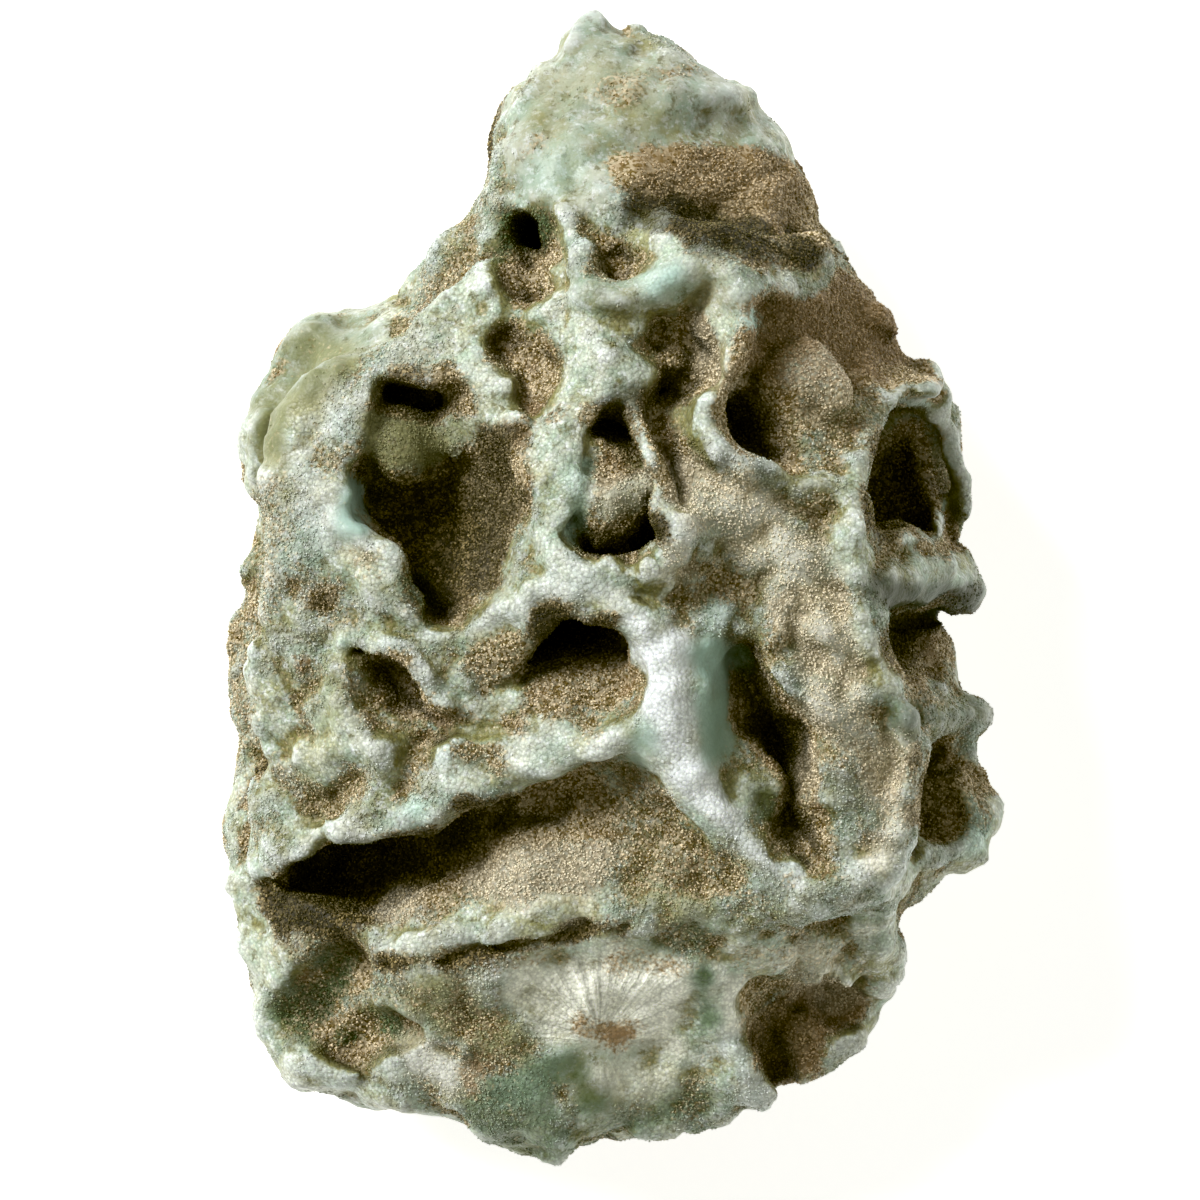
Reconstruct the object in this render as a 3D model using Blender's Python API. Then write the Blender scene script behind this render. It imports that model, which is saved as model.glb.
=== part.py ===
"""Raw aragonite: one natural piece of pale green crust, pitted and ridged, lying on its back.

A low mass carries a raised plate. Pits with sharp rims are cut into the plate, fins stand out on its
east side, and a fracture face fans out at its foot. The surface is worked out as a field, the distance
of every point of a grid from the stone, and turned into one closed mesh.
"""

import math

import bpy
import numpy as np

# Driving dimensions, in millimetres.
LENGTH = 100.0  # the stone from its narrow top to its broad foot
OUTLINE_Z = 11.0  # height of its widest outline above the surface that it lies on
PLATE_Z = 22.0  # height of the edge of the raised plate that makes up most of the front
EYE_HEIGHT = 420.0  # the plan below is drawn as seen from this height

# The plan: positions are (east, south) on a sheet of 1200 units a side, seen from straight above.
PLAN_UNIT = LENGTH / 1126.0
CENTRE = (611.0, 585.0)
EYE = (600.0, 600.0)

# How the surface is worked, in millimetres where a size.
BLOCK_LOW, BLOCK_HIGH = (-38, -53, -1.5), (38, 53, 40)
WARP, WARP_CELL, WARP_SEED = 0.45, 5.0, 11
NOISE_GAIN = 3.0
CREST_BLEND = 0.6
CHAIN_MARGIN = 3.0
PIT_MARGIN, PIT_SOFTNESS = 3.0, 1.0
TERRAIN_SOFTNESS = 2.0
RIM_ROUND, PLATE_ROUND, PLATE_UNDERCUT, PLATE_JOIN = 3.2, 1.5, 0.22, 1.0
SIDE_SPAN, SIDE_TUCK, SIDE_WAVE, SIDE_CELL, SIDE_SEED = 6.0, 1.0, 1.2, 7.0, 51
LUMP_CELL, LUMP_SEED, LUMP_HEIGHT, LUMP_FLOOR = 3.2, 21, 0.8, 0.38
LUMP_PATCH, LUMP_MEAN, LUMP_VARIES = 9.0, 0.65, 0.6
LUMP_REACH, LUMP_WARP, CREASE_WIDTH = 2.5, 2.4, 0.2
FOLDS, FOLD_MEAN = ((0.5, 4.6, 81), (0.4, 2.4, 82)), 0.45  # height, size and seed of each layer
ROUGHNESS = ((0.30, 3.0, 31), (0.22, 1.4, 32))  # height, size and seed of each layer
UNDER_LIFT, UNDER_REACH, UNDER_SINK = 6.5, 9.0, 1.4
UNDER_WAVE, UNDER_CELL, UNDER_SEED = 1.0, 14.0, 41
UNDER_STEEP, UNDER_ROUND = 0.8, 3.0

# The mesh.
METRES = 0.001  # one millimetre
SPACING = 0.5  # of the grid, in mm
TRIANGLES = 9400
FLAT_UNDER = 0.06  # what is lower than this, in mm, is pressed flat
REPAIR_ROUNDS = 20
THINNEST = 0.02  # least distance of a grid point from the surface, in mm

# The material.
CRUST_COLOUR = (0.55, 0.60, 0.47, 1.0)
CRUST_ROUGHNESS = 0.5

# The stone's widest outline.
OUTLINE = (
    (594, 22), (606, 25), (614, 34), (634, 34), (658, 46), (684, 63), (698, 75), (722, 91), (738, 91),
    (750, 97), (764, 117), (786, 136), (792, 152), (796, 170), (808, 196), (814, 222), (822, 240),
    (823, 253), (832, 254), (834, 272), (852, 292), (880, 320), (894, 346), (905, 366), (918, 378),
    (934, 384), (941, 400), (952, 416), (957, 450), (957, 490), (951, 540), (965, 548), (986, 583),
    (983, 598), (972, 613), (950, 611), (938, 612), (940, 626), (950, 640), (952, 665), (960, 692),
    (978, 697), (988, 706), (986, 724), (972, 738), (973, 752), (986, 780), (998, 802), (1000, 822),
    (990, 840), (972, 850), (955, 861), (934, 868), (914, 888), (891, 906), (886, 930), (893, 960),
    (891, 985), (870, 1004), (862, 1024), (851, 1049), (834, 1045), (822, 1062), (800, 1076), (772, 1083),
    (750, 1096), (735, 1098), (722, 1113), (690, 1124), (654, 1133), (610, 1128), (585, 1137),
    (560, 1147), (535, 1145), (505, 1132), (470, 1116), (430, 1098), (392, 1094), (342, 1086),
    (325, 1078), (305, 1078), (288, 1062), (268, 1034), (258, 998), (252, 950), (243, 912), (232, 866),
    (227, 835), (234, 805), (238, 770), (241, 735), (238, 705), (230, 680), (222, 650), (224, 622),
    (240, 585), (254, 545), (262, 522), (256, 498), (246, 478), (244, 450), (248, 425), (258, 398),
    (272, 374), (284, 345), (300, 326), (330, 314), (366, 309), (395, 300), (424, 268), (450, 245),
    (470, 228), (484, 200), (494, 165), (504, 125), (518, 100), (545, 74), (562, 56), (576, 32),
)
# The edge of the raised plate. Beyond the outline it does nothing.
PLATE = (
    (377, 356), (345, 366), (317, 387), (296, 405), (284, 430), (277, 470), (287, 510), (285, 545),
    (277, 580), (271, 610), (273, 632), (258, 650), (246, 680), (250, 715), (256, 742), (258, 758),
    (240, 790), (230, 835), (240, 880), (300, 925), (376, 946), (470, 934), (560, 916), (630, 908),
    (760, 912), (860, 890), (890, 862), (906, 825), (912, 775), (905, 725), (888, 680), (873, 640),
    (866, 590), (863, 550), (859, 510), (862, 470), (878, 428), (905, 402), (965, 390), (940, 335),
    (880, 280), (845, 245), (800, 243), (760, 245), (730, 240), (690, 238), (650, 225), (620, 195),
    (585, 200), (552, 230), (510, 262), (440, 310), (410, 345),
)
# Heights (east, south, z) of the low mass around and under the plate.
LOW_GROUND = (
    (594, 30, 13), (560, 70, 14), (640, 50, 15), (700, 85, 15), (760, 125, 14), (795, 175, 13),
    (815, 235, 13), (600, 80, 18), (650, 90, 19), (700, 120, 19.5), (520, 110, 14), (505, 150, 14),
    (560, 140, 21), (540, 180, 21), (490, 200, 14), (610, 150, 24.5), (650, 160, 23.5), (700, 165, 21.5),
    (740, 170, 19), (650, 205, 23.5), (700, 205, 20.5), (760, 205, 17.5), (800, 215, 14),
    (690, 238, 19.5), (650, 235, 22.5), (740, 235, 18.5), (790, 250, 15.5), (740, 140, 18),
    (600, 190, 27), (790, 290, 18), (850, 340, 17), (820, 380, 18), (510, 210, 20), (460, 240, 14),
    (420, 275, 14), (470, 270, 20), (400, 300, 14), (330, 320, 12), (300, 335, 12), (340, 350, 17),
    (380, 330, 18), (280, 375, 13), (290, 400, 16), (255, 420, 12), (265, 450, 15), (250, 480, 12),
    (265, 520, 12), (262, 560, 12), (240, 600, 10), (225, 640, 9), (235, 680, 9), (245, 700, 11),
    (240, 760, 10), (832, 270, 15), (870, 310, 15), (900, 350, 15), (930, 400, 15.5), (950, 450, 13),
    (950, 520, 13), (980, 585, 12), (945, 620, 12), (955, 670, 12), (985, 712, 13), (975, 760, 12),
    (998, 815, 12), (960, 855, 14), (910, 895, 14), (600, 500, 24), (450, 500, 24), (750, 600, 24),
    (890, 480, 13), (890, 640, 13), (930, 790, 13), (900, 560, 14), (900, 700, 15), (250, 900, 14),
    (300, 930, 19), (260, 960, 12), (330, 960, 19), (270, 1020, 11), (300, 1060, 10), (340, 1060, 13),
    (400, 1080, 11), (470, 1105, 10), (540, 1135, 9), (600, 1120, 10), (680, 1118, 10), (740, 1090, 10),
    (800, 1065, 9), (850, 1035, 9), (885, 990, 10), (885, 940, 12), (373, 960, 22), (437, 965, 23.5),
    (488, 960, 24.5), (577, 955, 25.5), (650, 955, 25.5), (700, 965, 24.5), (760, 960, 22),
    (830, 940, 18), (400, 1000, 19.5), (480, 1000, 22.5), (560, 1000, 23.5), (620, 1000, 23.5),
    (690, 1000, 22), (740, 1010, 19.5), (800, 1010, 14), (850, 980, 14), (400, 1050, 15.5),
    (500, 1060, 17.5), (600, 1040, 19.5), (690, 1060, 16.5), (540, 1100, 12.5), (620, 1090, 14),
    (740, 1060, 14.5),
)
# Heights of the plate before anything is cut into it.
HIGH_GROUND = (
    (290, 420, 24), (285, 480, 25), (290, 550, 25.5), (280, 610, 24.5), (320, 390, 25), (370, 362, 25.5),
    (340, 450, 28), (340, 520, 29), (340, 580, 28.5), (320, 630, 26), (370, 600, 30), (375, 400, 29),
    (400, 360, 28.5), (460, 370, 30.5), (500, 420, 32), (530, 500, 33.5), (520, 580, 33),
    (420, 630, 30.5), (470, 300, 24), (430, 320, 24), (500, 280, 24.5), (540, 300, 27), (560, 240, 27),
    (600, 200, 27), (560, 400, 33), (560, 330, 30), (600, 330, 32), (620, 380, 33.5), (640, 300, 32),
    (690, 265, 32), (735, 265, 31), (715, 350, 32), (715, 410, 34), (680, 460, 34), (720, 500, 34),
    (780, 500, 33), (830, 500, 31.5), (850, 540, 31.5), (690, 550, 35), (750, 600, 35), (800, 560, 34),
    (820, 620, 34), (860, 650, 31.5), (700, 620, 34.5), (650, 600, 34.5), (582, 578, 34.5),
    (670, 680, 34), (680, 740, 33), (720, 780, 31.5), (830, 720, 33.5), (870, 720, 32), (840, 800, 32),
    (890, 800, 30), (830, 860, 30), (870, 850, 29.5), (260, 690, 20), (270, 740, 20), (245, 800, 17),
    (235, 850, 15), (260, 860, 19), (340, 700, 25), (380, 760, 25), (330, 800, 23), (300, 850, 21.5),
    (420, 740, 26), (455, 690, 28), (460, 780, 27.5), (540, 740, 29.5), (600, 720, 31), (500, 640, 31),
    (420, 700, 27), (480, 800, 28.5), (380, 940, 25), (480, 930, 26.5), (560, 900, 28), (640, 880, 29),
    (700, 870, 30), (760, 880, 30), (320, 880, 22.5), (560, 760, 30.5), (420, 810, 26.5), (260, 900, 18),
    (320, 930, 21), (620, 920, 27.5), (700, 915, 28), (780, 900, 29), (800, 330, 27), (850, 350, 20),
    (820, 420, 30), (850, 440, 30.5), (860, 310, 18), (905, 365, 16), (880, 330, 16), (640, 215, 26.5),
    (700, 240, 25.5), (780, 262, 21), (830, 280, 17.5), (700, 300, 31), (690, 340, 30.5), (680, 420, 33),
    (930, 390, 15),
)
# Ridges on the plate: blend, flank slope, crest half width, and the crest's points.
HIGH_CRESTS = {
    "pit_west": (1.5, 0.55, 1.6,
        ((385, 365, 28.5), (362, 400, 29.5), (350, 440, 30.5), (343, 490, 30.8), (352, 525, 31),
         (385, 560, 31), (398, 590, 31), (405, 618, 30.5))),
    "pit_north": (1.5, 0.6, 1.4,
        ((385, 362, 28.5), (430, 360, 29.5), (480, 385, 31), (520, 435, 32.5), (538, 490, 34),
         (545, 540, 35), (582, 577, 36))),
    "pit_south": (1.0, 1.0, 1.2,
        ((408, 625, 30.5), (440, 634, 31), (475, 626, 32), (500, 612, 33), (530, 597, 34.4),
         (556, 586, 35.4), (582, 577, 36.2))),
    "west_sill": (0.8, 1.0, 1.0,
        ((276, 630, 25), (310, 630, 26.5), (345, 628, 28.5), (385, 634, 30.5), (412, 645, 31),
         (436, 664, 30.8), (450, 690, 29.5))),
    "middle_north": (1.5, 0.6, 1.4,
        ((560, 300, 30), (570, 350, 32), (573, 395, 33.5), (568, 440, 34.5), (560, 500, 35.3),
         (568, 550, 36))),
    "centre_band": (1.5, 0.6, 1.8,
        ((562, 240, 28), (572, 285, 31), (590, 325, 32.6), (612, 365, 34), (628, 398, 34.6))),
    "middle_south": (0.8, 1.2, 0.8,
        ((582, 576, 36.2), (620, 574, 36.3), (650, 569, 36.6), (672, 545, 36.8), (676, 515, 36.6))),
    "spine": (1.0, 1.0, 1.5,
        ((582, 585, 36), (612, 606, 35.8), (645, 628, 36), (662, 655, 36), (666, 690, 35.8),
         (668, 725, 35), (684, 765, 33.8), (712, 800, 32.6), (735, 832, 31.8), (762, 862, 31.4),
         (795, 888, 31))),
    "spine_wide": (1.2, 0.9, 2.8, ((676, 660, 35), (680, 700, 35), (680, 735, 34.2))),
    "south_rim": (0.8, 1.2, 0.8,
        ((795, 892, 31), (837, 882, 30.4), (870, 868, 29.8), (900, 850, 27), (940, 835, 20),
         (975, 825, 15.5))),
    "south_strand": (0.5, 1.5, 0.5,
        ((800, 906, 28.5), (845, 905, 27), (885, 892, 24), (925, 868, 19), (960, 855, 15))),
    "upper_s": (0.8, 1.4, 1.2,
        ((572, 228, 29.6), (575, 262, 31.8), (592, 292, 33.8), (625, 298, 34.2), (655, 286, 34.2),
         (685, 266, 34.4), (712, 256, 34.2), (735, 268, 34.6), (744, 300, 35), (744, 335, 35.4),
         (732, 368, 35.6), (714, 395, 35.8), (707, 425, 36), (722, 452, 35.8), (750, 466, 35.4),
         (785, 476, 34.8), (820, 484, 33.8), (850, 492, 33))),
    "east_ridge": (0.8, 1.2, 1.0,
        ((930, 388, 18), (905, 388, 22), (884, 402, 26), (868, 430, 29.5), (858, 465, 31.5),
         (852, 500, 33), (852, 540, 33.8), (858, 580, 34), (862, 615, 34), (870, 650, 33.4),
         (885, 680, 32.4), (900, 715, 32), (908, 750, 31.4), (904, 790, 31), (898, 830, 30.6),
         (880, 860, 30))),
}
# Ridges on the low mass, stated in the same way.
LOW_CRESTS = {
    "upper_edge": (1.6, 0.9, 1.4,
        ((596, 150, 25.6), (625, 128, 25.4), (660, 108, 23.8), (700, 98, 21.6), (740, 116, 19),
         (780, 146, 15.4))),
    "top_fold": (1.5, 0.4, 1.4, ((596, 112, 21.5), (640, 78, 19.5), (690, 66, 16))),
    "upper_fold": (1.4, 0.8, 1.4,
        ((596, 160, 25), (583, 182, 27.4), (584, 208, 29), (615, 212, 29.2), (640, 218, 28.2),
         (655, 232, 27.3))),
    "basin_step": (0.5, 1.3, 0.9, ((745, 270, 30.5), (770, 282, 27.5), (800, 286, 24), (830, 282, 19.5))),
    "lower_lip": (1.2, 0.9, 1.4,
        ((372, 944, 25), (410, 947, 26), (455, 938, 26.8), (505, 922, 27.6), (560, 906, 28.4),
         (610, 900, 28.8), (680, 901, 29), (740, 898, 29))),
    "south_flank": (1.0, 1.0, 1.2, ((880, 880, 26), (915, 862, 22), (955, 848, 18.5), (990, 820, 15.5))),
    "lobe_rim": (1.5, 0.5, 1.4,
        ((340, 325, 14), (300, 345, 15), (270, 385, 16), (258, 430, 17), (262, 475, 15.5))),
    "green_strand": (0.5, 1.2, 0.5, ((368, 962, 24), (352, 990, 22), (332, 1020, 18.5))),
    "fin_two": (0.8, 2.4, 1.3,
        ((855, 590, 33), (880, 580, 30.5), (905, 574, 27.5), (930, 574, 24.5), (955, 582, 20.5),
         (978, 591, 15.5))),
    "fin_two_top": (1.0, 2.2, 1.0,
        ((862, 548, 30), (890, 545, 27), (915, 545, 24.5), (940, 556, 21), (960, 572, 18.5))),
    "fin_three": (0.8, 2.4, 1.1,
        ((872, 692, 33), (895, 702, 30), (920, 708, 27), (950, 711, 22), (980, 713, 16))),
    "fan_west": (1.2, 0.4, 1.0, ((500, 975, 25.5), (520, 1010, 23.5), (545, 1050, 19.5))),
    "fan_rim": (1.0, 0.6, 1.0, ((700, 960, 26), (730, 990, 23.5), (735, 1030, 21), (715, 1070, 17.5))),
    "far_south_east": (1.0, 0.8, 0.9,
        ((770, 965, 22.5), (830, 985, 18.5), (862, 1010, 13), (845, 1045, 11))),
}
# Bumps and dents of the plate: rise, half width, and a line of plan points.
HIGH_RELIEF = {
    "shelf_between": (-0.8, 1.3, ((480, 738), (488, 760), (496, 785))),
    "channel_terrace": (-2.2, 2.4, ((722, 640), (716, 680), (716, 720), (722, 748))),
    "west_lump": (2.4, 3.8, ((330, 688), (338, 715))),
    "west_lump_low": (2.8, 3.4, ((388, 752),)),
    "west_lump_foot": (1.2, 3.6, ((325, 772),)),
    "shelf_west": (1.6, 3.0, ((375, 815),)),
    "shelf_one": (3.0, 3.6, ((452, 772),)),
    "shelf_two": (2.2, 2.6, ((505, 752), (548, 736))),
    "shelf_three": (1.2, 2.4, ((590, 735), (622, 726))),
    "small_knob": (1.9, 2.3, ((461, 681),)),
    "far_west_lump": (1.2, 3.6, ((264, 700), (268, 738))),
    "south_west_lump": (1.4, 4.0, ((258, 800), (285, 835))),
    "foot_crease": (-1.8, 1.5,
        ((250, 752), (268, 768), (288, 785), (306, 800), (322, 803), (342, 792), (360, 775))),
    "shelf_crease": (-1.6, 1.6, ((436, 728), (420, 748), (411, 772), (404, 798))),
    "knob_crease": (-1.0, 1.5, ((440, 728), (462, 716), (485, 716), (500, 728))),
    "west_dint": (-1.1, 1.8, ((288, 668), (292, 700), (312, 728))),
    "shelf_dint": (-0.8, 1.0, ((335, 800), (345, 825))),
    "west_dimple": (-3.6, 2.2, ((318, 597), (332, 601))),
    "plate_lump_north": (1.3, 2.4, ((335, 392),)),
    "plate_lump_east": (0.8, 2.2, ((372, 402),)),
    "plate_lump_west": (1.3, 2.6, ((300, 440),)),
    "plate_lump_middle": (1.2, 2.8, ((322, 500),)),
    "plate_lump_south": (0.8, 2.6, ((366, 585),)),
    "plate_dint": (-1.4, 1.8, ((330, 455), (345, 470))),
    "plate_dint_north": (-0.7, 1.6, ((350, 425), (325, 415))),
    "centre_mound": (1.6, 3.0, ((616, 370),)),
    "centre_dint": (-0.8, 2.0, ((590, 335), (600, 318))),
    "plateau_dent": (-2.6, 3.0, ((705, 572), (738, 585), (758, 600))),
    "plateau_dent_east": (-2.0, 2.2, ((808, 490), (825, 512))),
    "plateau_dent_south": (-1.6, 2.0, ((795, 640), (810, 655))),
    "plateau_dent_west": (-1.0, 1.8, ((700, 640), (690, 605))),
    "plateau_lump": (0.9, 2.4, ((770, 655),)),
    "plateau_lump_east": (0.8, 2.6, ((835, 640),)),
    "plateau_lump_north": (0.7, 2.4, ((740, 505),)),
    "saddle": (-1.2, 2.6, ((640, 292), (670, 284))),
}
# Bumps and dents of the low mass.
LOW_RELIEF = {
    "crack_east": (-0.9, 0.8, ((640, 924), (700, 930), (740, 925))),
    "fan_step": (-0.9, 1.6, ((520, 962), (600, 958), (690, 966))),
    "band_ledge_low": (0.8, 1.0, ((668, 232), (705, 246), (745, 256), (790, 262))),
    "band_foot": (-1.9, 1.5, ((628, 206), (672, 218), (712, 232), (752, 242), (805, 252))),
    "band_ledge": (1.4, 1.2, ((640, 190), (690, 198), (735, 210), (795, 228))),
    "band_low": (-2.6, 4.2, ((662, 168), (705, 172), (750, 190), (785, 210))),
    "top_knob": (1.2, 2.0, ((595, 42),)),
    "top_dint": (-0.8, 2.4, ((640, 95), (610, 118))),
    "top_dint_east": (-0.9, 2.0, ((678, 72), (700, 88))),
    "blue_lump": (0.8, 2.6, ((560, 175),)),
    "lobe_lump": (0.8, 3.0, ((268, 400), (262, 450))),
    "lobe_lump_north": (0.8, 2.6, ((330, 345),)),
    "saddle_lump": (0.9, 2.6, ((455, 300),)),
    "saddle_lump_west": (0.8, 2.6, ((400, 330),)),
    "fan_rib_one": (0.6, 1.2, ((590, 1000), (560, 1075), (545, 1120))),
    "fan_rib_two": (0.6, 1.0, ((612, 1045), (600, 1110))),
    "fan_rib_three": (0.6, 1.2, ((640, 1040), (665, 1105))),
    "fan_dint": (-0.9, 1.6, ((575, 1045), (560, 1090))),
    "fan_dint_east": (-0.6, 2.0, ((690, 1000), (705, 1045))),
    "south_lump": (1.0, 2.6, ((430, 1060), (460, 1085))),
    "south_lump_west": (0.8, 2.6, ((300, 1045),)),
}
# Swellings that the pits then cut: blend, stretch upwards, and balls (east, south, z, radius).
SWELLS = {
    "east_rim": (0.8, 1.0,
        ((905, 393, 21, 1.1), (932, 395, 17, 1.2), (950, 425, 15, 0.9), (954, 475, 14, 0.9),
         (948, 530, 13.6, 1.2))),
    "cave_rim": (0.8, 1.0,
        ((966, 740, 14, 0.9), (982, 772, 13, 0.9), (996, 808, 12.5, 0.9), (990, 832, 13, 1.1),
         (964, 850, 15, 1.1))),
    "shelf_edge": (1.0, 1.0,
        ((262, 868, 18.4, 1.5), (300, 855, 21.4, 1.5), (347, 838, 24.2, 1.6), (411, 818, 26.6, 1.5),
         (437, 805, 27.3, 1.4), (480, 792, 28.6, 1.5), (526, 766, 29.8, 1.5), (577, 748, 31, 1.5),
         (618, 735, 32.2, 1.5))),
}
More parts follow.
